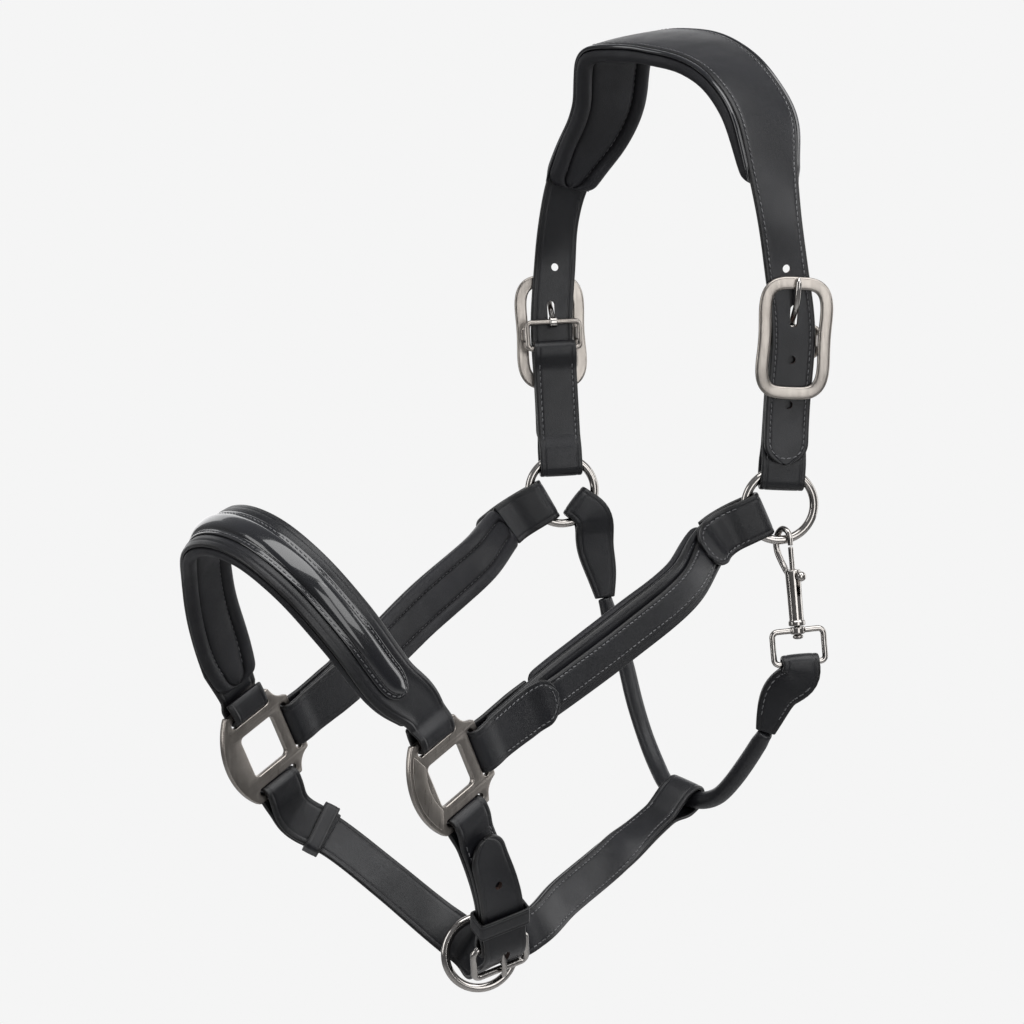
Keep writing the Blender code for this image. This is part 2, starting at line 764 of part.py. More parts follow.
def noseband_route():
    """From the near square's upper bar over the nose to the far square's."""
    near = square_frame(NEAR)
    far = square_frame(FAR)
    bar = (SLOT_OUT + BAR_OUT) / 2
    rows = [row(near.at(v=bar), near.n, 25.0), row(near.at(v=bar + 14, n=1.0), near.n, 27.0),
            row((77, -284.5, -328), (1, -0.05, 0.05), NOSE_WIDTH - 4),
            row((72, -310.5, -296), (0.9, -0.25, 0.3), NOSE_WIDTH),
            row((57, -326, -271.5), (0.7, -0.42, 0.55), NOSE_WIDTH),
            row((32, -332, -255), (0.35, -0.55, 0.75), NOSE_WIDTH),
            row((0, -329, -249), (0, -0.6, 0.8), NOSE_WIDTH),
            row((-31, -319, -254), (-0.35, -0.55, 0.75), NOSE_WIDTH),
            row((-56, -301, -272), (-0.7, -0.42, 0.55), NOSE_WIDTH),
            row((-71.5, -284.5, -299), (-0.9, -0.25, 0.3), NOSE_WIDTH),
            row((-77, -268.5, -329), (-1, -0.05, 0.05), NOSE_WIDTH - 2),
            row(far.at(v=bar + 14, n=1.0), far.n, 27.0), row(far.at(v=bar), far.n, 25.0)]
    return strap_route(rows, 38)


def noseband():
    route = noseband_route()
    whole = route_length(route)
    places, normals, widths, along = route
    strap_widths = np.minimum(widths, NOSE_WIDTH - 5.0)
    fold = Fold(BAR_FOLD_R, 3.0, 12.0, 30.0, 0.0, NOSE_BASE_THICK / 2 + GAP + STRAP_THICK / 2)
    stations = folded_stations((places, normals, strap_widths, along), fold, fold)
    sweep("noseband_strap", stations, lambda w: flat_section(w, STRAP_THICK), leather)
    patent_part = part_of(route, 34.0, whole - 34.0)
    out = STRAP_THICK / 2 + GAP + STRIP_THICK / 2
    stations = offset_stations(patent_part, out, PATENT_WIDTH)
    sweep("noseband_patent_strip", round_ends(stations, 12.0, True, True),
          lambda w: flat_section(w, STRIP_THICK), patent)
    under = part_of(route, 40.0, whole - 40.0)
    top_of_lining = -(STRAP_THICK / 2 + 0.3)
    sweep("noseband_lining", offset_stations(under, top_of_lining),
          lambda w: tray_section(w, LINING_DEEP, LINING_WALL), lining_leather)
    filling = part_of(route, 42.0, whole - 42.0)
    sweep("noseband_foam", offset_stations(filling, top_of_lining),
          lambda w: filling_section(w, LINING_DEEP, LINING_WALL, GAP), foam)


# ---- headpiece ----
CROWN_OUTER_THICK = 3.2
CROWN_LINING_DEEP = 7.0
CROWN_STATIONS = 54
LINING_WIDER = 7.0
PIPING_R = 1.3
PIPING_IN = 1.8
NEAR_SPARE_H = -5.8                  # the near billet's middle at its upper spare hole, where it leans
FAR_SPARE_H = 3.6                    # and the far billet's


def headpiece_route():
    """From the near billet's tip up over the poll to the far billet's tip."""
    near = ring_frame(NEAR)
    far = ring_frame(FAR)
    billet = ((7.6, 24), (6.9, 33), (5.5, 42), (BILLET_N, 51), (BILLET_N, 59), (BILLET_N, 100))
    near_side = [row(near.at(n=n, v=v), near.n, 25.0) for n, v in billet]
    far_side = [row(far.at(n=n, v=v), far.n, 25.0) for n, v in billet[::-1]]
    middle = [row(near.at(NEAR_SPARE_H, 4.2, 132), (0.86, -0.51, 0.0), 25.0),
              row((94, -13, -92), (1, -0.4, 0.0), 26.5), row((87, -12, -62), (0.97, -0.2, 0.2), 34.0),
              row((78, -9, -33), (0.85, -0.1, 0.5), 43.0), row((58.5, -6.5, -12), (0.55, -0.12, 0.8), 43.0),
              row((33, -2, 2), (0.25, -0.2, 0.95), 43.0), row((1, 0, 10.5), (0.03, -0.24, 0.97), 48.0),
              row((-29, -3, 12), (-0.05, -0.2, 0.97), 46.0), row((-46, -1, 9), (-0.4, -0.1, 0.9), 45.0),
              row((-55, 4, -4), (-0.85, 0.05, 0.5), 44.0), row((-61, 8, -22), (-0.93, 0.12, 0.33), 42.0),
              row((-68.5, 8, -37), (-0.93, 0.15, 0.33), 38.0), row((-79, 6, -52), (-0.93, 0.2, 0.3), 33.0),
              row((-88, 3.5, -69), (-0.95, 0.28, 0.15), 28.0), row((-94, 1.5, -94), (-0.95, 0.33, 0.0), 25.5),
              row(far.at(FAR_SPARE_H, 4.2, 132), (-0.84, 0.54, 0.0), 25.0)]
    return strap_route(near_side + middle + far_side, CROWN_STATIONS)


def hole_cutter(name, frame, n, v, half_long, h=0.0):
    """A round or oblong hole through a billet, long way up and down."""
    outline = arc_points((0, half_long), HOLE_R, 0, 180, 6) + arc_points((0, -half_long), HOLE_R, 180, 360, 6)
    if half_long == 0:
        outline = arc_points((0, 0), HOLE_R, 0, 330, 11)
    count = len(outline)
    points = [frame.at(h + x, out, v + y) for out in (n - HOLE_DEEP, n + HOLE_DEEP) for x, y in outline]
    faces = [(k, (k + 1) % count, count + (k + 1) % count, count + k) for k in range(count)]
    faces += [tuple(range(count)), tuple(range(2 * count - 1, count - 1, -1))]
    return add_object(name, points, faces, leather, frame.at(v=v))


def headpiece():
    route = headpiece_route()
    whole = route_length(route)
    stations = round_ends(offset_stations(route, 0.0), 12.0, True, True)
    strap = sweep("headpiece_strap", stations, lambda w: flat_section(w, CROWN_OUTER_THICK), leather)
    tongue_hole = BRACKET_TOP + 7.4
    for label, side in SIDES:
        frame = ring_frame(side)
        cutter = hole_cutter(
            label + "_tongue_hole", frame, BILLET_N, tongue_hole - TONGUE_HOLE_LOWER, TONGUE_HOLE_HALF)
        add_boolean(strap, cutter, "DIFFERENCE")
        upper_h = NEAR_SPARE_H if side == NEAR else FAR_SPARE_H
        for number, (steps, h) in enumerate(((1, upper_h), (-1, 0.0), (-2, 0.0))):
            spare_at = tongue_hole + steps * HOLE_STEP
            cutter = hole_cutter(f"{label}_spare_hole_{number}", frame, BILLET_N, spare_at, 0, h)
            add_boolean(strap, cutter, "DIFFERENCE")
    top_of_lining = -(CROWN_OUTER_THICK / 2 + 0.3)
    places, normals, widths, along = route
    ends = (159.0, whole - 159.0)
    lined_widths = widths + LINING_WIDER
    wide_route = (places, normals, lined_widths, along)
    lining = part_of(wide_route, *ends)
    sweep("headpiece_lining", offset_stations(lining, top_of_lining),
          lambda w: tray_section(w, CROWN_LINING_DEEP, LINING_WALL), lining_leather)
    filling = part_of(wide_route, ends[0] + 3, ends[1] - 3)
    sweep("headpiece_foam", offset_stations(filling, top_of_lining),
          lambda w: filling_section(w, CROWN_LINING_DEEP, LINING_WALL, GAP), foam)
    for edge_name, sign in (("front", -1), ("back", 1)):
        beside = sign * np.cross(along, normals) * (lined_widths / 2 - PIPING_IN)[:, None]
        beads = part_of((places + beside, normals, widths, along), *ends)
        sweep(f"headpiece_{edge_name}_piping", offset_stations(beads, 0.0),
              lambda w: round_section(PIPING_R, 6), patent)


# ---- chin strap, its buckle and the chin ring ----
CHIN_RING_YAW = -28.0
CHIN_THROUGH = np.array((8.0, -167.0, -487.0))   # where the chin strap passes through the ring
CHIN_IN_RING = (-5.9, 3.8)                       # that place from the ring's centre, (h, v)
CHIN_HINGE = (56.0, -190.5, -475.0)
CHIN_BUCKLE_HALF = 15.6
CHIN_BUCKLE_TALL = 19.0
CHIN_WIRE = 1.9
KEEPER_THICK = 1.8


def chin_ring_frame():
    yaw = math.radians(CHIN_RING_YAW)
    h = np.array((-math.sin(yaw), math.cos(yaw), 0.0))
    n = np.array((math.cos(yaw), math.sin(yaw), 0.0))
    return Frame(CHIN_THROUGH - CHIN_IN_RING[0] * h - CHIN_IN_RING[1] * ZUP, h, n, ZUP)


def chin_buckle_frame():
    """Origin on the hinge bar, v up the near chape, n outwards."""
    v = unit((0.353, -0.382, 0.853))
    h = square_to(np.array((0.316, 0.907, 0.274)), v)
    return Frame(CHIN_HINGE, h, np.cross(h, v), v)


def near_chape_route():
    """The doubled strap between the near square's lower bar and the chin buckle's hinge bar."""
    near = square_frame(NEAR)
    buckle = chin_buckle_frame()
    bar = (SLOT_OUT + BAR_OUT) / 2
    rows = [row(near.at(v=-bar), near.n), row(near.at(v=-bar - 20), near.n),
            row(buckle.at(v=24, n=0.6), buckle.n), row(buckle.at(v=10), buckle.n),
            row(buckle.origin, buckle.n)]
    return strap_route(rows, 15)


def chin_strap_route():
    """From the far square through the ring and the buckle to its tip beside the near square."""
    far = square_frame(FAR)
    buckle = chin_buckle_frame()
    chape = near_chape_route()
    bar = (SLOT_OUT + BAR_OUT) / 2
    rows = [row(far.at(v=-bar), far.n), row(far.at(v=-bar - 18, n=-0.5), far.n),
            row((-60, -207, -430), (-0.9, 0.2, -0.4)), row((-36, -188, -453), (-0.78, 0.3, -0.5)),
            row((-13, -172, -475), (-0.55, 0.55, -0.6)), row(CHIN_THROUGH, (0.1, 0.79, -0.54)),
            row((27, -174, -493), (0.45, 0.4, -0.75))]
    rows += [row(buckle.at(n=n, v=v), buckle.n) for n, v in ((-5.6, -19), (6.8, -1.5))]
    length = route_length(chape)
    above_buckle = ((8.0, 6.5), (20.0, 4.7), (31.0, 4.7), (43.0, 4.7), (length - 26.0, 5.0), (length - 14.0, 6.9))
    for up, out in above_buckle:
        place, normal, along = station_at(chape, length - up)
        rows.append(row(place + out * normal, normal))
    return strap_route(rows, 48)


def keeper(name, place, along, normal, half_wide, low, high, band):
    """A flat leather loop round a strap: along is the strap's direction, low and high its faces."""
    n = square_to(normal, along)
    across = np.cross(along, n)
    middle = (low + high) / 2
    half_tall = (high - low) / 2
    path = rounded_box_path(half_wide, half_tall, 1.4, 3)
    places = np.array([place + x * across + (middle + y) * n for x, y in path])
    way = directions(places, True)
    normals = np.cross(way, along)
    section = flat_section(band, KEEPER_THICK, 0.4)
    points, faces = sweep_points(places, normals, [section] * len(path), True)
    return add_object(name, points, faces, leather, place)


def chin_parts():
    buckle = chin_buckle_frame()
    ring("chin_ring", chin_ring_frame())
    route = chin_strap_route()
    fold = Fold(BAR_FOLD_R, 3.0, 12.0, 44.0, 0.0, STRAP_THICK + GAP)
    stations = round_ends(folded_stations(route, fold, None), 11.0, False, True)
    strap = flat_strap("chin_strap", stations)
    add_boolean(strap, hole_cutter("chin_tongue_hole", buckle, 3.1, -6.6, CHIN_HOLE_HALF), "DIFFERENCE")
    place, normal, along = station_at(route, 37.0)
    half = STRAP_WIDTH / 2 + 0.8 + KEEPER_THICK / 2
    over = STRAP_THICK / 2 + 0.6 + KEEPER_THICK / 2
    keeper("far_chin_keeper", place, along, normal, half, -over - STRAP_THICK - GAP, over, 9.0)
    low = Fold(CHIN_WIRE + GAP + STRAP_THICK / 2, 2.0, 10.0)
    stations = folded_stations(near_chape_route(), Fold(BAR_FOLD_R, 3.0, 12.0), low, True)
    chape = flat_strap("near_chin_chape", stations, closed=True)
    slot = block("chape_slot", buckle, (-3.2, 3.2), (-9.0, 9.0), (-9.0, 7.0), leather)
    add_boolean(chape, slot, "DIFFERENCE")
    wire_loop("chin_buckle_frame", buckle.moved(v=-CHIN_BUCKLE_TALL / 2),
              rounded_box_path(CHIN_BUCKLE_HALF, CHIN_BUCKLE_TALL / 2, 3.2, 4), CHIN_WIRE)
    chape_at = near_chape_route()
    place, normal, along = station_at(chape_at, route_length(chape_at) - 19.0)
    keeper("near_chin_keeper", place, along, normal, half, -LAY - over - 0.3, 4.5 + over + 0.5, 11.0)
    prong("chin_buckle_tongue", buckle, (0.0, 0.0, 0.0),
          [(1.9, -2.2), (3.4, -7.0), (4.6, -13.0), (4.3, -CHIN_BUCKLE_TALL), (3.5, -CHIN_BUCKLE_TALL - 3.2)],
          1.5, 2.4, CHIN_WIRE)


def station_at(route, distance):
    """The place, outward normal and direction of a route at a distance from its start."""
    places, normals, _, along = route
    run = run_of(places)
    index = int(np.argmin(abs(run - distance)))
    return places[index], normals[index], along[index]


# ---- throatlatch, jowl strap and snap hook ----
ROLL_R = 5.0
LOOP_AT = np.array((2.0, 8.5, -422.5))
LOOP_WAY = unit((0.946, 0.15, -0.287))
JOWL_END_WAY = (0.0, 0.887, 0.463)   # the jowl strap's direction where it meets the throatlatch
JOWL_WIDTH = 22.0
TAB_WIDTH = 22.0
HOOK_TURN = 30.0
HOOK_ANGLE = -80.0
WIRE_IN_HOOK = 5.5
HOOK_HEIGHT = 16.8
SNAP_TILT = 5.0
EYE_TOP = -34.0
EYE_LOW = -52.4
EYE_HALF = 14.6
EYE_WIRE = 1.7
BORE_R = 2.3


def snap_frame():
    """Origin on the bolt's axis at the barrel's mouth, v up the bolt."""
    ring_at = ring_frame(NEAR)
    angle = math.radians(HOOK_ANGLE)
    wire = ring_at.at(h=RING_R * math.cos(angle), v=RING_R * math.sin(angle))
    tilt = math.radians(SNAP_TILT)
    side_way = unit((0.695, 0.719, 0.0))
    v = math.cos(tilt) * ZUP - math.sin(tilt) * side_way
    h = square_to(ring_at.h, v)
    frame = Frame(wire, h, np.cross(h, v), v)
    return frame.moved(v=-HOOK_HEIGHT).moved(*hook_way(-WIRE_IN_HOOK))


def hook_way(distance):
    """The (h, n) step towards the hook's back."""
    angle = math.radians(HOOK_TURN)
    return -distance * math.sin(angle), -distance * math.cos(angle)


def snap_body(frame):
    profile = [(0, -39.0), (2.4, -38.8), (3.0, -38.0), (3.0, -37.2), (2.4, -36.5), (1.5, -36.5),
               (1.5, -31.4), (4.8, -31.2), (4.8, -28.8), (4.1, -28.2), (4.2, -14.0), (4.4, -2.0),
               (4.0, 0.0), (BORE_R, 0.0), (BORE_R, -22.0), (0, -22.0)]
    body = turned("snap_body", frame.origin, frame.v, profile, gunmetal)
    arm_rows = [(3.3, -6.0), (5.2, -1.0), (8.6, 4.5), (11.2, 10.0), (11.6, 15.0), (9.6, 20.0), (5.6, 22.9),
                (1.6, 21.4), (0.0, 17.6), (0.0, 13.6)]
    line = smooth_route([frame.at(*hook_way(q), v) for q, v in arm_rows], 20)
    radii = [0.8, 1.3] + [1.8] * 13 + [1.7, 1.6, 1.5, 1.5, 1.5]
    hook_side = np.cross(frame.v, frame.at(*hook_way(1.0)) - frame.origin)
    arm = rod("snap_arm", line, radii, gunmetal, 8, hook_side)
    add_boolean(body, arm, "UNION")
    slot = block("snap_slot", knob_frame(frame), (-1.3, 1.3), (1.0, 8.0), (-14.6, -1.8), gunmetal)
    add_boolean(body, slot, "DIFFERENCE")


def knob_frame(frame):
    """The snap's frame turned so that n points to the thumb knob."""
    turned_n = math.cos(math.radians(25)) * frame.n + math.sin(math.radians(25)) * frame.h
    return Frame(frame.origin, np.cross(frame.v, turned_n), turned_n, frame.v)


def snap_bolt(frame):
    profile = [(0, -9.6), (1.7, -9.6), (2.0, -9.2), (2.0, -1.6), (1.5, -1.0), (1.5, 12.2), (1.0, 12.9),
               (0, 13.0)]
    bolt = turned("snap_bolt", frame.origin, frame.v, profile, gunmetal)
    knob = knob_frame(frame)
    stem_profile = [(0, 0.6), (1.0, 0.6), (1.0, 5.2), (1.9, 5.6), (2.7, 6.8), (2.8, 7.8), (2.3, 9.0),
                    (1.2, 9.8), (0, 10.0)]
    stem = turned("snap_knob", knob.at(v=-3.6), knob.n, stem_profile, gunmetal)
    add_boolean(bolt, stem, "UNION")


def snap_spring(frame):
    """The coil under the bolt: its turns run from the bore's end to the bolt."""
    turns = 5.0
    low = -21.2
    high = -10.4
    steps = 40
    places = []
    for k in range(steps + 1):
        angle = 2 * math.pi * turns * k / steps
        rise = low + (high - low) * k / steps
        places.append(frame.at(1.5 * math.cos(angle), 1.5 * math.sin(angle), rise))
    rod("snap_spring", places, [0.35] * len(places), steel, 4, frame.v, frame.at(v=low))


def snap_eye(frame):
    middle = (EYE_TOP + EYE_LOW) / 2
    eye = wire_loop("snap_eye", frame.moved(v=middle),
                    rounded_box_path(EYE_HALF, (EYE_TOP - EYE_LOW) / 2, 2.8, 4), EYE_WIRE, sides=8)
    boss_profile = [(0, -36.1), (4.0, -36.1), (4.2, -35.6), (4.2, -32.4), (4.0, -31.9), (0, -31.9)]
    boss = turned("snap_eye_boss", frame.origin, frame.v, boss_profile, gunmetal)
    add_boolean(eye, boss, "UNION")
    hole_profile = [(0, -40.0), (1.8, -40.0), (1.8, -28.0), (0, -28.0)]
    hole = turned("snap_eye_hole", frame.origin, frame.v, hole_profile, gunmetal)
    add_boolean(eye, hole, "DIFFERENCE")


def throatlatch():
    far = ring_frame(FAR)
    snap = snap_frame()
    away = unit(0.743 * far.h - 0.669 * far.v)
    start = far.origin + RING_FOLD * away
    far_rows = [row(start, far.n, 20.0), row(start + 9 * away, far.n, TAB_WIDTH),
                row((-74, 12.5, -283), far.n, TAB_WIDTH), row((-70.5, 14.5, -299), far.n, 18.0),
                row((-68, 15, -313), far.n, 11.5)]
    stations = folded_stations(strap_route(far_rows, 11), ring_fold(200.0, 1.6))
    flat_strap("far_throat_tab", stations)
    low_bar = snap.at(v=EYE_LOW)
    near_rows = [row(low_bar, snap.n, TAB_WIDTH - 1), row(snap.at(v=EYE_LOW - 7), snap.n, TAB_WIDTH),
                 row((85.5, 0.0, -354), (0.75, -0.6, 0.1), TAB_WIDTH - 1),
                 row((79.5, -1.5, -366.5), (0.7, -0.6, 0.2), 17.0),
                 row((75, -1.0, -377), (0.65, -0.65, 0.3), 11.5)]
    eye_fold = Fold(EYE_WIRE + 0.7 + STRAP_THICK / 2, 2.5, 12.0, 200.0, 1.6)
    stations = folded_stations(strap_route(near_rows, 11), eye_fold)
    flat_strap("near_throat_tab", stations)
    roll_rows = [(-67.7, 15.2, -315), (-64, 18.5, -332), (-58, 21.5, -350), (-48, 19.5, -373),
                 (-36, 17, -394), (-22, 12.5, -409.5), LOOP_AT - 10 * LOOP_WAY, LOOP_AT + 10 * LOOP_WAY,
                 (27, 9.5, -422), (41, 6.5, -412.5), (55, 4.0, -399), (74.2, -1.2, -379.5)]
    line = smooth_route(roll_rows, 30)
    rod("throatlatch_roll", line, [4.4] + [ROLL_R] * 28 + [4.4], leather, 10, (0.3, 0.9, 0.1))


def jowl_strap():
    ring_at = chin_ring_frame()
    away = unit(0.94 * ring_at.h + 0.34 * ZUP)
    start = ring_at.origin + RING_FOLD * away
    outward = unit(np.cross(LOOP_WAY, JOWL_END_WAY))
    rows = [row(start, ring_at.n, JOWL_WIDTH), row(start + 14 * away, ring_at.n, JOWL_WIDTH),
            row((15.5, -102, -467.5), (1, -0.15, 0.3), JOWL_WIDTH),
            row((8, -62, -454), (1, -0.1, 0.45), JOWL_WIDTH),
            row((3, -27, -440), outward, JOWL_WIDTH - 1), row(LOOP_AT, outward, JOWL_WIDTH - 2)]
    loop = Fold(ROLL_R + 1.2 + STRAP_THICK / 2, 3.0, 20.0)
    stations = folded_stations(strap_route(rows, 19), ring_fold(), loop, True)
    flat_strap("jowl_strap", stations, closed=True)


def main():
    clear_scene()
    headpiece()
    noseband()
    for label, side in SIDES:
        frame = ring_frame(side)
        ring(label + "_ring", frame)
        headpiece_buckle(label, frame)
        headpiece_tongue(label, frame)
        short_cheek_strap(label, frame)
        halter_square(label, square_frame(side))
        cheekpiece(label, side)
    chin_parts()
    throatlatch()
    jowl_strap()
    snap = snap_frame()
    snap_body(snap)
    snap_bolt(snap)
    snap_spring(snap)
    snap_eye(snap)


main()
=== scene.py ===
"""The looks of the leather headcollar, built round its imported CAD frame.

Lengths are millimetres until a mesh is made. +Z is up, the horse faces -Y, the near side is +X and
the origin is at the poll. Straps are dense sweeps along the same routes that the CAD solids follow.
"""

import math

import bmesh
import bpy
import numpy as np
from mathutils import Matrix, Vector


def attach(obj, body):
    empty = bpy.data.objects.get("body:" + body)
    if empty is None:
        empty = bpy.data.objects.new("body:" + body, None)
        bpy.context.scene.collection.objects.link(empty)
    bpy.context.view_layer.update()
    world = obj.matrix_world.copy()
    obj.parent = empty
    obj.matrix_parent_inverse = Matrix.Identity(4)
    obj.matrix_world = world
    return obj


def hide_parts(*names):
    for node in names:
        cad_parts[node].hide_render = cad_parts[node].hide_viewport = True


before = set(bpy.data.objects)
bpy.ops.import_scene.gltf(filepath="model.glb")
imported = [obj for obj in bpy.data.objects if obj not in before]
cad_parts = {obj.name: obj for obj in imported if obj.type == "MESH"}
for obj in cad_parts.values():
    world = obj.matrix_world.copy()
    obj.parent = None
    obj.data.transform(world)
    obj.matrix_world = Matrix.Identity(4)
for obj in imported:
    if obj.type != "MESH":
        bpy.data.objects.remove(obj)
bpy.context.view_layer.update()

MM = 0.001
NEAR = 1
FAR = -1
SIDES = (("near", NEAR), ("far", FAR))
ZUP = np.array((0.0, 0.0, 1.0))
STEP = 2.0                           # between a strap's stations
SOFTEN = 5.0                         # how far a route's corners are eased

STRAP = 2.4
STRAP_WIDTH = 25.0
LAY = STRAP / 2 + 0.3
RING_WIRE = 2.5
RING_R = 19.5
RING_AT = (86.0, -3.0, -250.0)
RING_YAW = -36.0
RING_LEAN = 4.5
RING_FOLD = 14.0
RING_FOLD_R = RING_WIRE + 0.65 + STRAP / 2
SQUARE_AT = (74.5, -244.0, -378.0)
CHEEK_DIP = 27.7
WINDOW_HALF = 12.5
SLOT_IN = 19.6
SLOT_OUT = 23.6
SLOT_HALF = 14.2
BAR_OUT = 27.0
BAR_AT = (SLOT_OUT + BAR_OUT) / 2
PLATE = 3.4
BAR_FOLD_R = PLATE / 2 + 1.15 + STRAP / 2
HOLE_STEP = 25.0
HOLE_R = 2.3
GATHER_PITCH = 6.6                   # between the gathers beside a sewn channel

BUCKLE_V = 94.0
FRAME_WIDE = 44.0
FRAME_TALL = 68.0
FRAME_BAR = 7.2
FRAME_THICK = 2.8
FRAME_OUT = 8.4
FRAME_BOW = 2.2
FRAME_STATIONS = 168
BRACKET_N = -1.7
BRACKET_TOP = BUCKLE_V + 5.5
BRACKET_LOW = BUCKLE_V - 10.0
BRACKET_WIRE = 1.6
BRACKET_HALF = 15.6
BILLET_N = 4.7

PITCH = 3.3                          # from one stitch to the next
STITCH_HALF = 1.25
SEAM = 2.9                           # from a strap's edge to its row of stitches


# ---- vectors ----
def unit(vector):
    vector = np.asarray(vector, float)
    return vector / np.linalg.norm(vector, axis=-1, keepdims=True)


def square_to(vector, axis):
    """The part of vector that is square to axis, at unit length. Both may be rows of vectors."""
    return unit(vector - np.sum(vector * axis, axis=-1, keepdims=True) * axis)


class Frame:
    """A place with an h axis across the strap, an n axis out of its face and a v axis along it."""

    def __init__(self, origin, h, n, v):
        self.origin = np.asarray(origin, float)
        self.h = unit(h)
        self.n = unit(n)
        self.v = unit(v)

    def at(self, h=0.0, n=0.0, v=0.0):
        return self.origin + h * self.h + n * self.n + v * self.v

    def moved(self, h=0.0, n=0.0, v=0.0):
        return Frame(self.at(h, n, v), self.h, self.n, self.v)


def ring_frame(side):
    yaw = math.radians(RING_YAW)
    lean = math.radians(RING_LEAN)
    v = np.array((side * math.sin(lean), 0.0, math.cos(lean)))
    n = square_to(side * np.array((math.cos(yaw), math.sin(yaw), 0.0)), v)
    return Frame((side * RING_AT[0], RING_AT[1], RING_AT[2]), side * np.cross(v, n), n, v)


def square_frame(side):
    dip = math.radians(CHEEK_DIP)
    h = (0.0, math.cos(dip), math.sin(dip))
    v = (0.0, -math.sin(dip), math.cos(dip))
    return Frame((side * SQUARE_AT[0], SQUARE_AT[1], SQUARE_AT[2]), h, (side, 0.0, 0.0), v)


# ---- routes ----
def smooth_curve(rows, step=STEP):
    """A smooth curve through rows, read at about equal steps. Columns after the third ride along."""
    rows = np.asarray(rows, float)
    steps = np.linalg.norm(np.diff(rows[:, :3], axis=0), axis=1)
    slopes = np.diff(rows, axis=0) / steps[:, None]
    inner = slopes[:-1] * steps[1:, None] + slopes[1:] * steps[:-1, None]
    inner = inner / (steps[1:] + steps[:-1])[:, None]
    tangents = np.vstack((slopes[:1], inner, slopes[-1:]))
    t = np.linspace(0.0, 1.0, 60, endpoint=False)[:, None]
    dense = []
    for i, length in enumerate(steps):
        a = 2 * t**3 - 3 * t**2 + 1
        b = (t**3 - 2 * t**2 + t) * length
        d = (t**3 - t**2) * length
        dense.append(a * rows[i] + b * tangents[i] + (1 - a) * rows[i + 1] + d * tangents[i + 1])
    dense = np.vstack([*dense, rows[-1:]])
    run = run_of(dense[:, :3])
    at = np.linspace(0.0, run[-1], max(int(run[-1] / step), 8) + 1)
    return read_line(dense, run, at)


def run_of(places):
    return np.concatenate(([0.0], np.cumsum(np.linalg.norm(np.diff(places, axis=0), axis=1))))


def read_line(columns, run, at):
    """The columns read at distances at along their run."""
    return np.stack([np.interp(at, run, column) for column in columns.T], axis=1)


def bell(step, reach):
    """How many steps an easing reaches each way, and its weights."""
    half = max(int(2 * reach / step), 1)
    weights = np.exp(-0.5 * (np.arange(-half, half + 1) * step / reach) ** 2)
    return half, weights / weights.sum()


def blurred(columns, weights):
    return np.stack([np.convolve(column, weights, "valid") for column in columns.T], axis=1)


def softened(columns, step, reach):
    """The columns eased over reach mm, with both ends left where they are."""
    half, weights = bell(step, reach)
    first = 2 * columns[0] - columns[half:0:-1]
    last = 2 * columns[-1] - columns[-2:-half - 2:-1]
    return blurred(np.vstack((first, columns, last)), weights)


def directions(places, closed=False):
    if closed:
        return unit(np.roll(places, -1, axis=0) - np.roll(places, 1, axis=0))
    return unit(np.gradient(places, axis=0))


def around(count):
    """The angles of count points round a circle."""
    return np.linspace(0.0, 2 * math.pi, count, endpoint=False)


def ease(distance, length):
    """1 up to distance 0, falling smoothly to 0 at length."""
    t = np.clip(distance / length, 0.0, 1.0)
    return 1.0 - t * t * (3.0 - 2.0 * t)


class Band:
    """A strap's stations: middle line, outward normals, widths and directions."""

    def __init__(self, place, normal, width, along):
        self.place = np.array(place, float)
        self.along = unit(np.array(along, float))
        self.normal = square_to(np.array(normal, float), self.along)
        self.width = np.array(width, float)
        self.across = np.cross(self.along, self.normal)
        self.run = run_of(self.place)
        self.length = self.run[-1]

    def column(self, values, s):
        if values.ndim == 1:
            return np.interp(s, self.run, values)
        return np.stack([np.interp(s, self.run, values[:, k]) for k in range(3)], axis=-1)

    def read(self, s):
        columns = (self.place, self.normal, self.width, self.along)
        return Band(*(self.column(values, s) for values in columns))

    def part(self, first, last):
        inner = self.run[(self.run > first + 0.4) & (self.run < last - 0.4)]
        return self.read(np.concatenate(([first], inner, [last])))

    def off(self, out, width=None):
        """A layer out mm off this one, at its width or its own."""
        return Band(self.place + np.reshape(out, (-1, 1)) * self.normal, self.normal,
                    self.width if width is None else np.broadcast_to(width, self.width.shape), self.along)

    def backwards(self):
        return Band(self.place[::-1], self.normal[::-1], self.width[::-1], -self.along[::-1])

    def point(self, s, x, out):
        """Points x mm across and out mm off the face at distances s."""
        s, x, out = np.broadcast_arrays(s, x, out)
        return (self.column(self.place, s) + x[..., None] * self.column(self.across, s)
                + out[..., None] * self.column(self.normal, s))

    def frame_at(self, s):
        """(place, normal, along) at one distance."""
        normal, along = (unit(self.column(values, s)) for values in (self.normal, self.along))
        return self.column(self.place, s), normal, along


def row(place, normal, width=STRAP_WIDTH):
    return (*place, *unit(normal), width)


def strap_band(rows, soften=SOFTEN):
    read = softened(smooth_curve(rows), STEP, soften)
    return Band(read[:, :3], read[:, 3:6], read[:, 6], directions(read[:, :3]))


class Fold:
    """A strap's turn round a bar or a wire. Its two layers hold apart by the radius, then close up to
    lay and back_lay; back is how far the inner layer runs."""

    def __init__(self, radius, hold, close, back=30.0, lay=LAY, back_lay=None, offset=0.0):
        self.radius = radius
        self.hold = hold
        self.close = close
        self.offset = offset
        self.back = back
        self.lay = lay
        self.back_lay = lay if back_lay is None else back_lay


def ring_fold(back=30.0, lay=LAY):
    return Fold(RING_FOLD_R, hold=8.5, close=12.0, back=back, lay=lay)


ARC_STEPS = 14


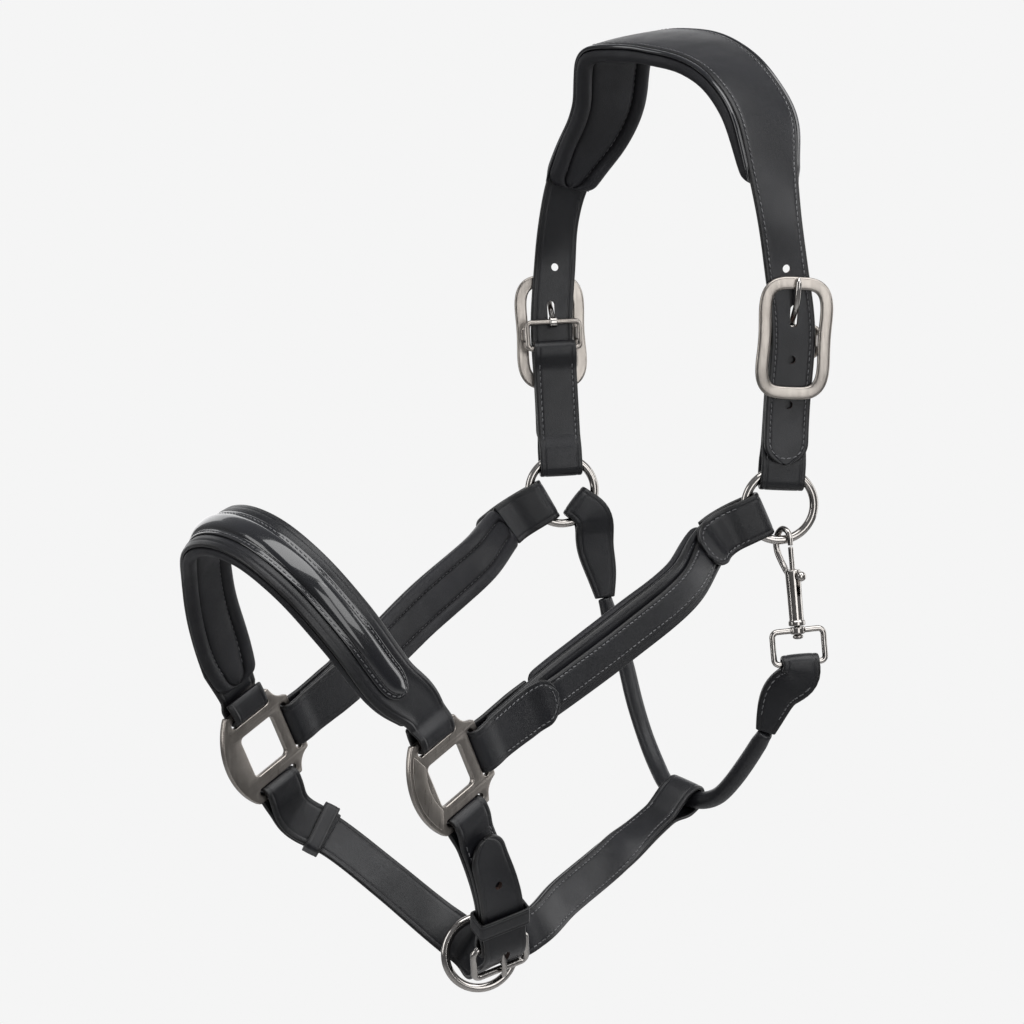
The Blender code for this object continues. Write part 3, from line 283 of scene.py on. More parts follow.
def turn(place, normal, along, width, radius):
    for step in range(1, ARC_STEPS):
        angle = math.pi * step / ARC_STEPS
        out = math.cos(angle) * normal + math.sin(angle) * along
        way = math.cos(angle) * along - math.sin(angle) * normal
        yield (place + radius * out, out, width, way)


def folded(route, start=None, end=None, closed=False):
    """The band of a strap that runs on the outer side of its route and folds back at its ends."""
    run = route.run
    left = run[-1] - run
    out = np.zeros(len(run))
    back = np.zeros(len(run))
    for fold, away in ((start, run), (end, left)):
        if fold is None:
            continue
        near = ease(away - fold.hold, fold.close)
        out = np.maximum(out, fold.lay + (fold.radius + fold.offset - fold.lay) * near)
        back = np.maximum(back, fold.back_lay + (fold.radius - fold.offset - fold.back_lay) * near)
    rows = list(zip(route.place, route.normal, route.width, route.along, out, back))
    outer = [(p + o * n, n, w, t) for p, n, w, t, o, b in rows]
    inner = [(p - b * n, -n, w, -t) for p, n, w, t, o, b in rows]
    stations = list(outer)
    last = len(run) - 1
    if end is not None:
        p, n, w, t = rows[last][:4]
        stations += list(turn(p + end.offset * n, n, t, w, end.radius))
        if not closed:
            stations += [inner[i] for i in range(last, -1, -1) if left[i] <= end.back]
    if closed:
        stations += inner[::-1]
    if start is not None:
        p, n, w, t = rows[0][:4]
        arc = list(turn(p + start.offset * n, -n, -t, w, start.radius))
        if closed:
            stations += arc
        else:
            behind = [inner[i] for i in range(last, -1, -1) if run[i] <= start.back]
            stations = behind + arc + stations
    return Band(*(np.array([s[k] for s in stations]) for k in range(4)))


TIP_R = 12.2                         # a strap's rounded tip
TIP_TURNS = np.radians(np.linspace(0.0, 90.0, 13))


def rounded(band, radius, start, end, share=0.97):
    """The band with a rounded tip at one or both ends."""
    tip = radius * (1.0 - np.cos(TIP_TURNS))
    total = band.length
    low = 1.05 * radius if start else -1.0
    high = total - 1.05 * radius if end else total + 1.0
    at = band.run[(band.run > low) & (band.run < high)]
    if start:
        at = np.concatenate((tip, at))
    if end:
        at = np.concatenate((at, total - tip[::-1]))
    made = band.read(at)
    away = np.minimum(at if start else total, total - at if end else total)
    reach = 1.0 - np.clip(away / radius, 0.0, 1.0)
    made.width = made.width - 2 * share * radius * (1.0 - np.sqrt(1.0 - reach * reach))
    return made


# ---- meshes ----
def signed_volume(points, quads, caps):
    at = points - points.mean(axis=0)
    a, b, c, d = (at[quads[:, k]] for k in range(4))
    total = np.sum(a * np.cross(b, c)) + np.sum(a * np.cross(c, d))
    for cap in caps:
        for i in range(1, len(cap) - 1):
            total += np.dot(at[cap[0]], np.cross(at[cap[i]], at[cap[i + 1]]))
    return total


class Shape:
    """The points, faces and marks of one piece, gathered shell by shell."""

    def __init__(self):
        self.points = []
        self.faces = []
        self.marks = []
        self.count = 0

    def add(self, points, quads, caps=(), marks=None):
        points = np.asarray(points, float).reshape(-1, 3)
        quads = np.asarray(quads, int).reshape(-1, 4)
        if signed_volume(points, quads, caps) < 0:
            quads = quads[:, ::-1]
            caps = [cap[::-1] for cap in caps]
        self.faces += (quads + self.count).tolist()
        self.faces += [[int(i) + self.count for i in cap] for cap in caps]
        self.points.append(points)
        self.marks.append(np.zeros((len(points), 2)) if marks is None else marks)
        self.count += len(points)
        return self

    def object(self, name, finish):
        mesh = bpy.data.meshes.new(name)
        points = np.concatenate(self.points) * MM
        marks = np.concatenate(self.marks)
        mesh.from_pydata([tuple(p) for p in points.tolist()], [], self.faces)
        # edge marks a piece's rims, for their wear; seam marks its sewn channels and grooves, where the
        # leather finish paints shade
        for k, label in enumerate(("edge", "seam")):
            layer = mesh.attributes.new(label, "FLOAT", "POINT")
            layer.data.foreach_set("value", marks[:, k].astype(np.float32))
        mesh.shade_smooth()
        mesh.materials.append(finish)
        obj = bpy.data.objects.new(name, mesh)
        bpy.context.scene.collection.objects.link(obj)
        return obj


def grid_quads(rows, size, closed):
    """Quads of a tube of rows loops with size points each."""
    i = np.arange(rows if closed else rows - 1)[:, None]
    j = np.arange(size)[None, :]
    k = (j + 1) % size
    this = i * size
    after = ((i + 1) % rows) * size
    return np.stack((this + j, this + k, after + k, after + j), axis=-1).reshape(-1, 4)


def end_caps(rows, size):
    return [list(range(size))[::-1], list(range((rows - 1) * size, rows * size))]


def sweep(shape, band, section, closed=False, end_round=0.7, wrinkle=None):
    """Adds a sweep of section(width, draw_in, s) along the band, with rounded-over ends."""
    place, normal, along, width, run = band.place, band.normal, band.along, band.width, band.run
    draw_in = np.zeros(len(run))
    if not closed and end_round:
        turns = np.radians((90.0, 60.0, 30.0))
        step = end_round * np.sin(turns)
        shrink = end_round * (1.0 - np.cos(turns))
        first = place[0] - step[:, None] * along[0]
        last = place[-1] + step[::-1, None] * along[-1]
        place = np.vstack((first, place, last))
        normal, along, width, run = (np.concatenate((np.repeat(v[:1], 3, 0), v, np.repeat(v[-1:], 3, 0)))
                                     for v in (normal, along, width, run))
        draw_in = np.concatenate((shrink, draw_in, shrink[::-1]))
    across = np.cross(along, normal)
    sections = np.array([section(w, d, s) for w, d, s in zip(width, draw_in, run)])
    x, y = sections[:, :, 0:1], sections[:, :, 1:2]
    if wrinkle is not None:
        y = y + wrinkle(sections, run)[:, :, None]
    points = place[:, None, :] + x * across[:, None, :] + y * normal[:, None, :]
    size = sections.shape[1]
    rows = len(run)
    caps = [] if closed else end_caps(rows, size)
    return shape.add(points, grid_quads(rows, size, closed), caps, sections[:, :, 2:4].reshape(-1, 2))


class Leather:
    """The section of a flat strap: rounded rims, and a channel under each row of stitches."""

    def __init__(self, thick=STRAP, rim=0.95, seam=SEAM, dip=0.2, dome=0.15, swell=0.0, swell_at=11.5,
                 grow=None):
        self.thick = thick
        self.rim = rim
        self.seam = seam
        self.dip = dip
        self.dome = dome
        self.swell = swell
        self.swell_at = swell_at
        self.grow = grow

    def dome_at(self, half):
        return self.dome if self.grow is None else self.dome + self.grow(half)

    def top(self, x, half):
        """How far the outer face stands above half the thickness, x mm from the middle."""
        squeeze = min(1.0, half / (self.seam + 4.0))
        dome = self.dome_at(half)
        share = np.clip(np.abs(x) / half, 0.0, 1.0)
        away = half - np.abs(x) - self.seam * squeeze
        swell = self.swell * np.exp(-(((np.abs(x) - self.swell_at) / 2.5) ** 2))
        return dome * (1 - share**2) + swell - self.dip * np.exp(-((away / 0.5) ** 2))

    def __call__(self, width, draw_in=0.0, s=0.0):
        half = max(width / 2 - draw_in, 0.12)
        b = max(self.thick / 2 - draw_in, 0.12)
        r = min(self.rim, b * 0.98, half * 0.9)
        squeeze = min(1.0, half / (self.seam + 4.0))
        near = np.array((0.5 * (r + self.seam - 0.8), self.seam - 0.8, self.seam - 0.4, self.seam,
                         self.seam + 0.4, self.seam + 0.8, self.seam + 1.8)) * squeeze
        near = np.maximum(near, r * squeeze + 0.02)
        face = half - near
        face = np.concatenate((face, face[-1] * np.array((0.86, 0.72, 0.58, 0.44, 0.3, 0.15))))
        face = np.concatenate((face, [0.0], -face[::-1]))
        fade = 1.0 if draw_in == 0 else 0.5
        top = b + fade * self.top(face, half)
        low = -b + fade * self.dip * np.exp(-(((half - np.abs(face) - self.seam * squeeze) / 0.5) ** 2))
        angles = np.radians(np.linspace(0.0, 90.0, 5))
        lift = b - r
        right = [(half - r + r * math.sin(t), -lift - r * math.cos(t)) for t in angles]
        upper_angles = angles if lift > 0.01 else angles[1:]
        right += [(half - r + r * math.cos(t), lift + r * math.sin(t)) for t in upper_angles]
        if lift <= 0.01:
            right.insert(5, (half, 0.01))
        rim = [(x, y, 1.0, 0.0) for x, y in right]
        left = [(-x, y, m, 0.0) for x, y, m, _ in rim[::-1]]
        marks = np.exp(-(half - np.abs(face)) / 1.1)
        seams = np.exp(-(((half - np.abs(face) - self.seam * squeeze) / 0.6) ** 2))
        upper = list(zip(face, top, marks, seams))
        lower = list(zip(face, low, marks, seams))[::-1]
        return rim + upper + left + lower


def through(points, steps=3):
    """A smooth line through 2-D points, steps points for each of them."""
    points = np.asarray(points, float)
    padded = np.vstack((2 * points[0] - points[1], points, 2 * points[-1] - points[-2]))
    made = []
    for i in range(1, len(padded) - 2):
        a, b, c, d = padded[i - 1:i + 3]
        for t in np.linspace(0, 1, steps, endpoint=False):
            square = (2 * a - 5 * b + 4 * c - d) * t**2
            cube = (3 * b - a - 3 * c + d) * t**3
            made.append(0.5 * (2 * b + (c - a) * t + square + cube))
    return np.array([*made, points[-1]])


ROLL_MIDDLE = 0.74                   # the middle's depth, as a share of the rolls'
CHANNEL = 0.44                       # and the sewn channels'
CHANNEL_START = 8.0                  # from a lining's end to its channels' stitches


class Roll:
    """The section of a padded lining: a fat roll at each edge, a sewn channel inside it and a flatter
    middle."""

    def __init__(self, deep, roll, length, end):
        self.deep = deep
        self.roll = roll
        self.length = length
        self.end = end

    def depth_at(self, s):
        away = np.minimum(s, self.length - s)
        t = np.clip(away / self.end, 0.0, 1.0)
        return self.deep * (0.42 + 0.58 * np.sqrt(1.0 - (1.0 - t) ** 2))

    def __call__(self, width, draw_in=0.0, s=0.0):
        a = width / 2 - draw_in
        d = max(self.depth_at(s) - draw_in, 0.4)
        k = self.roll / 8.8
        m = ROLL_MIDDLE
        rows = [(a - 1.5, -0.01), (a - 0.6, -0.07 * d), (a - 0.05, -0.3 * d), (a, -0.52 * d),
                (a - 0.7 * k, -0.78 * d), (a - 2.2 * k, -0.95 * d), (a - 4.2 * k, -d),
                (a - 6.2 * k, -0.93 * d), (a - 7.6 * k, -0.76 * d),
                (a - 8.4 * k, -0.55 * d), (a - 8.8 * k, -CHANNEL * d), (a - 9.3 * k, -0.55 * d),
                (a - 10.4 * k, -(m - 0.06) * d), (a - 12.2 * k, -m * d)]
        tail = rows[-1][0]
        rows += [(tail * 0.6, -(m + 0.03) * d), (tail * 0.2, -(m + 0.04) * d)]
        half = through(rows)
        seam_x = a - 8.8 * k
        made = [(x, y, 0.0, math.exp(-(((x - seam_x) / 0.7) ** 2))) for x, y in half]
        return made + [(-x, y, e, c) for x, y, e, c in made[::-1]]


def round_section(radius, sides=14):
    angles = around(sides)
    rows = np.zeros((sides, 4))
    rows[:, 0] = radius * np.cos(angles)
    rows[:, 1] = radius * np.sin(angles)

    def section(width, draw_in=0.0, s=0.0):
        made = rows.copy()
        made[:, :2] *= max(width - draw_in / radius, 0.02)
        return made

    return section


# ---- stitches ----
STITCH_AT = np.array((-1.0, -0.86, -0.5, 0.5, 0.86, 1.0))
STITCH_R = np.array((0.12, 0.28, 0.34, 0.34, 0.28, 0.12))
STITCH_HIGH = np.array((-0.24, -0.02, 0.10, 0.10, -0.02, -0.24))
STITCH_SIDES = 6
STITCH_PROUD = 0.05                  # how far a stitch's middle line stands above the bottom of its channel


def border(band, inset, first, last, at_start=False, at_end=False):
    """Rows (s, x) inset mm inside the band's edges, joined round the ends that are asked for."""
    s = np.arange(first, last + 0.4, 0.8)
    half = band.column(band.width, s) / 2
    right = np.stack((s, half), axis=1)
    left = np.stack((s, -half), axis=1)[::-1]
    if not (at_start or at_end):
        return [np.stack((s, half - inset), axis=1), np.stack((s, inset - half), axis=1)]
    across = np.arange(-1.0, 1.001, 0.04)[::-1, None]
    end = np.hstack((np.full_like(across, last), across * half[-1]))
    start = np.hstack((np.full_like(across, first), -across * half[0]))
    parts = [right, end, left] if at_end else [left, start, right]
    if at_start and at_end:
        parts = [right, end, left, start]
    line = np.vstack(parts)
    keep = np.concatenate(([True], np.linalg.norm(np.diff(line, axis=0), axis=1) > 0.05))
    line = line[keep]
    tangent = unit(np.gradient(line, axis=0))
    inner = line + inset * np.stack((tangent[:, 1], -tangent[:, 0]), axis=1)
    gap = np.array([np.min(np.linalg.norm(line - p, axis=1)) for p in inner])
    return [inner[gap > inset - 0.12]]


def add_stitches(shape, band, rows, out, pitch=PITCH, turned=1.0):
    """Adds one short arched stitch for each pitch along a row; out(s, x) is the face's height."""
    for line in rows:
        run = run_of(line)
        count = int(run[-1] / pitch)
        if count < 1:
            continue
        middle = (np.arange(count) + 0.5) * run[-1] / count
        t = middle[:, None] + STITCH_AT[None, :] * STITCH_HALF
        s = np.interp(t, run, line[:, 0])
        x = np.interp(t, run, line[:, 1]) + 0.14 * STITCH_AT[None, :]
        high = turned * (out(s, x) + STITCH_HIGH[None, :])
        centre = band.point(s, x, high)
        normal = band.column(band.normal, s)
        way = unit(centre[:, -1] - centre[:, 0])
        side = unit(np.cross(way[:, None, :], normal))
        angles = around(STITCH_SIDES)
        ring_at = (np.cos(angles)[None, None, :, None] * side[:, :, None, :]
                   + np.sin(angles)[None, None, :, None] * normal[:, :, None, :])
        points = centre[:, :, None, :] + STITCH_R[None, :, None, None] * ring_at
        size = len(STITCH_AT) * STITCH_SIDES
        one = grid_quads(len(STITCH_AT), STITCH_SIDES, False)
        caps = end_caps(len(STITCH_AT), STITCH_SIDES)
        if signed_volume(points[0].reshape(-1, 3), one, caps) < 0:
            one = one[:, ::-1]
            caps = [cap[::-1] for cap in caps]
        for k in range(count):
            shape.faces += (one + shape.count + k * size).tolist()
            shape.faces += [[i + shape.count + k * size for i in cap] for cap in caps]
        shape.points.append(points.reshape(-1, 3))
        shape.marks.append(np.zeros((count * size, 2)))
        shape.count += count * size


def on_face(profile, band):
    """The height of a strap's outer face under a stitch."""
    def out(s, x):
        half = band.column(band.width, s) / 2
        share = np.clip(np.abs(x) / half, 0, 1)
        return profile.thick / 2 + profile.dome_at(half) * (1 - share**2) - profile.dip + STITCH_PROUD
    return out


# ---- materials ----
def nodes_of(name):
    made = bpy.data.materials.new(name)
    made.use_nodes = True
    return made, made.node_tree, made.node_tree.nodes["Principled BSDF"]


def add_node(tree, kind, settings=(), **inputs):
    """Adds a node; each input is a number, a colour or another node's socket."""
    made = tree.nodes.new(kind)
    for key, value in dict(settings).items():
        setattr(made, key, value)
    for key, value in inputs.items():
        socket = made.inputs[int(key[1:])] if key[1:].isdigit() else made.inputs[key.replace("_", " ")]
        if isinstance(value, bpy.types.NodeSocket):
            tree.links.new(value, socket)
        else:
            socket.default_value = value
    return made


def math_node(tree, operation, a, b=0.5, c=0.5):
    return add_node(tree, "ShaderNodeMath", {"operation": operation}, _0=a, _1=b, _2=c).outputs[0]


def noise_node(tree, where, scale, detail=3.0, rough=0.5):
    made = add_node(tree, "ShaderNodeTexNoise", Vector=where, Scale=scale, Detail=detail, Roughness=rough)
    return made.outputs["Fac"]


def spread(tree, value, low, high, to_low, to_high):
    return add_node(tree, "ShaderNodeMapRange", {"interpolation_type": "SMOOTHSTEP"},
                    _0=value, _1=low, _2=high, _3=to_low, _4=to_high).outputs[0]


def mixed(tree, share, a, b):
    made = add_node(tree, "ShaderNodeMix", {"data_type": "RGBA"}, _0=share)
    for socket, value in ((made.inputs[6], a), (made.inputs[7], b)):
        if isinstance(value, bpy.types.NodeSocket):
            tree.links.new(value, socket)
        else:
            socket.default_value = (*value, 1.0)
    return made.outputs[2]


def object_coordinates(tree, stretch=(1.0, 1.0, 1.0)):
    where = add_node(tree, "ShaderNodeTexCoord").outputs["Object"]
    if stretch == (1.0, 1.0, 1.0):
        return where
    return add_node(tree, "ShaderNodeMapping", Vector=where, Scale=stretch).outputs[0]


def mark(tree, name):
    return add_node(tree, "ShaderNodeAttribute", {"attribute_name": name}).outputs["Fac"]


def dress(tree, shader, colour, rough, bump):
    tree.links.new(colour, shader.inputs["Base Color"])
    tree.links.new(rough, shader.inputs["Roughness"])
    tree.links.new(bump.outputs[0], shader.inputs["Normal"])


def leather_finish(name, dark, light, rim, rough, grain, relief, crease, gloss=0.0, gloss_rough=0.1):
    """Grained leather: pebbles with fine pores, soft creases, uneven polish, a burnished rim and painted
    shade that darkens its sewn channels.
    """
    made, tree, shader = nodes_of(name)
    where = object_coordinates(tree)
    bend = add_node(tree, "ShaderNodeTexNoise", Vector=where, Scale=grain * 0.35, Detail=2.0)
    warped = add_node(tree, "ShaderNodeMix", {"data_type": "VECTOR"}, _0=0.0012)
    tree.links.new(where, warped.inputs[4])
    tree.links.new(bend.outputs["Color"], warped.inputs[5])
    at = warped.outputs[1]
    cells = add_node(tree, "ShaderNodeTexVoronoi", {"feature": "DISTANCE_TO_EDGE"}, Vector=at, Scale=grain)
    pebble = spread(tree, cells.outputs["Distance"], 0.0, 0.35, 0.0, 1.0)
    pores = add_node(tree, "ShaderNodeTexVoronoi", Vector=at, Scale=grain * 0.7)
    pore = spread(tree, pores.outputs["Distance"], 0.05, 0.25, 0.0, 1.0)
    fine = noise_node(tree, where, grain * 3.5, 2.0)
    folds = noise_node(tree, where, 95.0, 3.0, 0.55)
    height = math_node(tree, "MULTIPLY_ADD", pebble, 0.55, math_node(tree, "MULTIPLY", pore, 0.3))
    height = math_node(tree, "MULTIPLY_ADD", fine, 0.25, height)
    height = math_node(tree, "MULTIPLY_ADD", folds, crease, height)
    bump = add_node(tree, "ShaderNodeBump", Strength=0.6, Distance=relief, Height=height)
    cloud = noise_node(tree, where, 24.0, 4.0, 0.6)
    colour = mixed(tree, spread(tree, cloud, 0.35, 0.68, 0.0, 1.0), dark, light)
    edge = mark(tree, "edge")
    rubbed = spread(tree, noise_node(tree, where, 160.0), 0.3, 0.7, 0.35, 1.0)
    worn = math_node(tree, "MULTIPLY", edge, rubbed)
    colour = mixed(tree, worn, colour, rim)
    # painted shade: where the seam mark lies, in the sewn channels and grooves, the colour is pulled towards
    # near-black
    colour = mixed(tree, math_node(tree, "MULTIPLY", mark(tree, "seam"), 0.6), colour, (0.004, 0.004, 0.005))
    uneven = spread(tree, noise_node(tree, where, 60.0, 4.0), 0.3, 0.7, rough - 0.05, rough + 0.06)
    polish = math_node(tree, "MULTIPLY_ADD", math_node(tree, "SUBTRACT", 1.0, pebble), 0.07, uneven)
    polish = math_node(tree, "MULTIPLY_ADD", worn, -0.06, polish)
    dress(tree, shader, colour, polish, bump)
    shader.inputs["Coat Weight"].default_value = gloss
    shader.inputs["Coat Roughness"].default_value = gloss_rough
    shader.inputs["IOR"].default_value = 1.42
    made.diffuse_color = (*dark, 1.0)
    return made


def metal_finish(name, dark, light, rough, smear, relief):
    """Plated metal: slight tone drift, faint rubbing marks and a hint of orange peel."""
    made, tree, shader = nodes_of(name)
    where = object_coordinates(tree)
    drift = noise_node(tree, where, 55.0, 4.0, 0.6)
    colour = mixed(tree, spread(tree, drift, 0.3, 0.7, 0.0, 1.0), dark, light)
    rubs = noise_node(tree, object_coordinates(tree, (900.0, 900.0, 60.0)), 1.0, 3.0)
    peel = noise_node(tree, where, 700.0, 2.0)
    rough_at = spread(tree, rubs, 0.3, 0.75, rough - smear, rough + smear)
    rough_at = math_node(tree, "MULTIPLY_ADD", drift, smear, rough_at)
    height = math_node(tree, "MULTIPLY_ADD", rubs, 0.4, peel)
    bump = add_node(tree, "ShaderNodeBump", Strength=0.35, Distance=relief, Height=height)
    dress(tree, shader, colour, rough_at, bump)
    shader.inputs["Metallic"].default_value = 1.0
    made.diffuse_color = (*dark, 1.0)
    return made


def thread_finish(name, dark, light):
    """Waxed thread, with its twist."""
    made, tree, shader = nodes_of(name)
    where = object_coordinates(tree)
    twist = add_node(tree, "ShaderNodeTexWave", {"bands_direction": "DIAGONAL"}, Vector=where, Scale=420.0,
                     Distortion=1.5, Detail=1.0).outputs["Fac"]
    colour = mixed(tree, spread(tree, noise_node(tree, where, 300.0), 0.3, 0.7, 0.0, 1.0), dark, light)
    bump = add_node(tree, "ShaderNodeBump", Strength=0.5, Distance=0.00012, Height=twist)
    dress(tree, shader, colour, spread(tree, twist, 0.0, 1.0, 0.38, 0.5), bump)
    return made


# Each leather: its dark, light and burnished tones, roughness, grains per metre, relief and creases.
BLACK = leather_finish(
    "black_leather", (0.0048, 0.0051, 0.0066), (0.0080, 0.0084, 0.0108), (0.0065, 0.0062, 0.0062),
    rough=0.36, grain=1500.0, relief=0.00010, crease=0.9, gloss=0.10, gloss_rough=0.22)
SOFT = leather_finish(
    "soft_leather", (0.0046, 0.0047, 0.0064), (0.0080, 0.0081, 0.0108), (0.0060, 0.0060, 0.0072),
    rough=0.50, grain=1150.0, relief=0.00016, crease=1.4)
GLOSS = leather_finish(
    "patent_leather", (0.004, 0.0045, 0.006), (0.006, 0.0065, 0.009), (0.008, 0.008, 0.009),
    rough=0.16, grain=500.0, relief=0.000012, crease=0.5, gloss=1.0, gloss_rough=0.03)
RAW = leather_finish(
    "raw_leather", (0.050, 0.030, 0.026), (0.090, 0.055, 0.045), (0.05, 0.03, 0.025),
    rough=0.75, grain=2200.0, relief=0.00012, crease=0.6)
PLATED = metal_finish("gunmetal", (0.300, 0.275, 0.250), (0.385, 0.355, 0.325),
                      rough=0.30, smear=0.05, relief=0.00002)
POLISHED = metal_finish("polished_gunmetal", (0.360, 0.340, 0.320), (0.450, 0.430, 0.410),
                        rough=0.14, smear=0.035, relief=0.00001)
STEEL = metal_finish("spring_steel", (0.42, 0.42, 0.43), (0.52, 0.52, 0.53),
                     rough=0.26, smear=0.05, relief=0.00001)
THREAD = thread_finish("waxed_thread", (0.070, 0.070, 0.074), (0.150, 0.150, 0.156))


# ---- pieces ----
def place(obj, body, slot, *stood_for):
    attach(obj, body)
    if stood_for:
        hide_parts(*stood_for)
    return obj


def settle(obj):
    """Writes an object's modifiers into its mesh."""
    graph = bpy.context.evaluated_depsgraph_get()
    made = obj.evaluated_get(graph)
    mesh = bpy.data.meshes.new_from_object(made, preserve_all_data_layers=True, depsgraph=graph)
    obj.modifiers.clear()
    obj.data = mesh
    return obj


def cut(obj, cutters, finish):
    """Takes the cutter shapes out of an object; the cut walls get their own finish."""
    made = []
    for number, shape in enumerate(cutters):
        other = shape.object(f"cutter_{number}", finish)
        other.hide_render = True
        change = obj.modifiers.new(other.name, "BOOLEAN")
        change.operation = "DIFFERENCE"
        change.object = other
        change.solver = "EXACT"
        change.material_mode = "TRANSFER"
        made.append(other)
    bpy.context.view_layer.update()
    settle(obj)
    obj.data.set_sharp_from_angle(angle=math.radians(50))
    for other in made:
        bpy.data.objects.remove(other, do_unlink=True)
    return obj


def cast(shape, name, finish, voxel, smooth=3):
    """One body out of overlapping shells, with filleted joins."""
    obj = shape.object(name, finish)
    change = obj.modifiers.new("cast", "REMESH")
    change.mode = "VOXEL"
    change.voxel_size = voxel * MM
    change.use_smooth_shade = True
    ease_off = obj.modifiers.new("ease", "SMOOTH")
    ease_off.iterations = smooth
    ease_off.factor = 0.5
    settle(obj)
    obj.data.materials.clear()
    obj.data.materials.append(finish)
    return obj


def sewn(name, body, *jobs):
    """One mesh for a strap's stitches; each job is (band, rows, out) with an optional side."""
    shape = Shape()
    for job in jobs:
        band, rows, out = job[:3]
        add_stitches(shape, band, rows, out, turned=job[3] if len(job) > 3 else 1.0)
    obj = shape.object(name, THREAD)
    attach(obj, body)
    return obj


def flat(value):
    return lambda s, x: np.full_like(s, value)


# Over the poll, from the near side to the far side: (place, outward normal, width).
CROWN_STATIONS = (
    ((94, -13, -92), (1, -0.4, 0.0), 26.5),
    ((87, -12, -62), (0.97, -0.2, 0.2), 34.0),
    ((78, -9, -33), (0.85, -0.1, 0.5), 43.0),
    ((58.5, -6.5, -12), (0.55, -0.12, 0.8), 43.0),
    ((33, -2, 2), (0.25, -0.2, 0.95), 43.0),
    ((1, 0, 10.5), (0.03, -0.24, 0.97), 48.0),
    ((-29, -3, 12), (-0.05, -0.2, 0.97), 46.0),
    ((-46, -1, 9), (-0.4, -0.1, 0.9), 45.0),
    ((-55, 4, -4), (-0.85, 0.05, 0.5), 44.0),
    ((-61, 8, -22), (-0.93, 0.12, 0.33), 42.0),
    ((-68.5, 8, -37), (-0.93, 0.15, 0.33), 38.0),
    ((-79, 6, -52), (-0.93, 0.2, 0.3), 33.0),
    ((-88, 3.5, -69), (-0.95, 0.28, 0.15), 28.0),
    ((-94, 1.5, -94), (-0.95, 0.33, 0.0), 25.5),
)


def headpiece_rows():
    near = ring_frame(NEAR)
    far = ring_frame(FAR)
    billet = ((7.6, 24), (6.9, 33), (5.5, 42), (BILLET_N, 51), (BILLET_N, 59), (BILLET_N, 100))
    near_side = [row(near.at(n=n, v=v), near.n, 25.0) for n, v in billet]
    far_side = [row(far.at(n=n, v=v), far.n, 25.0) for n, v in billet[::-1]]
    near_lean = row(near.at(NEAR_SPARE_H, 4.2, 132), (0.86, -0.51, 0.0), 25.0)
    far_lean = row(far.at(FAR_SPARE_H, 4.2, 132), (-0.84, 0.54, 0.0), 25.0)
    middle = [row(*station) for station in CROWN_STATIONS]
    return [*near_side, near_lean, *middle, far_lean, *far_side]


def hole(origin, n_way, v_way, half_long, radius=HOLE_R, deep=7.0):
    """A round or oblong punch through a strap."""
    h_way = np.cross(v_way, n_way)
    angles = around(28)
    x = radius * np.cos(angles)
    y = radius * np.sin(angles) + np.where(np.sin(angles) >= 0, half_long, -half_long)
    rims = [origin + d * n_way + x[:, None] * h_way + y[:, None] * v_way for d in (-deep, deep)]
    size = len(angles)
    return Shape().add(np.vstack(rims), grid_quads(2, size, False), end_caps(2, size))


CROWN_THICK = 2.8
CROWN_DEEP = 7.6
CROWN_SEAM = 3.0
CROWN_ROLL = 9.6                     # the lining's rolled edges
PIPING_R = 1.35
LINING_WIDER = 7.0
LINED = 157.0
LINING_TAPER = 35.0                  # how long the lining's ends take to narrow
TONGUE_HOLE_UP = 7.4
NEAR_SPARE_H = -5.8                  # the near billet's middle at its upper spare hole, where it leans
FAR_SPARE_H = 3.6                    # and the far billet's


def pucker(amount):
    """Small gathers in the lining beside its sewn channels, and a slow unevenness along it."""
    def wrinkle(sections, run):
        near = sections[:, :, 3]
        lower = np.clip(-sections[:, :, 1] / 3.0, 0.0, 1.0)
        drawn = np.exp(-((1.0 - near) ** 2) / 0.35) - near * 0.4
        slow = 0.5 * np.sin(run / 9.1 + 0.7) + 0.5 * np.sin(run / 5.3 + 1.9)
        gather = np.sin(2 * math.pi * run / GATHER_PITCH)[:, None] * drawn
        return amount * lower * (gather + 0.9 * slow[:, None])
    return wrinkle


def lining_piece(name, pad, deep, roll, end, gather, fill, *nodes):
    """A padded lining; gives back its channels' stitches, as a job for sewn."""
    section = Roll(deep, roll, pad.length, end)
    obj = sweep(Shape(), pad, section, wrinkle=pucker(gather)).object(name, SOFT)
    place(obj, "collar", "soft_leather", *nodes)
    s = np.arange(CHANNEL_START, pad.length - CHANNEL_START, 0.8)
    half = pad.column(pad.width, s) / 2 - roll
    rows = [np.stack((s, half), axis=1), np.stack((s, -half), axis=1)]
    return pad, rows, flat(CHANNEL * deep - STITCH_PROUD), -1.0


def strap_piece(name, band, section, node, **options):
    """One strap of black leather."""
    obj = sweep(Shape(), band, section, **options).object(name, BLACK)
    return place(obj, "collar", "black_leather", node)


def crown_swell(half):
    """How much more the crown's face is domed over its padding than at the billets."""
    return 1.3 * np.clip((half - 13.5) / 9.0, 0.0, 1.0)


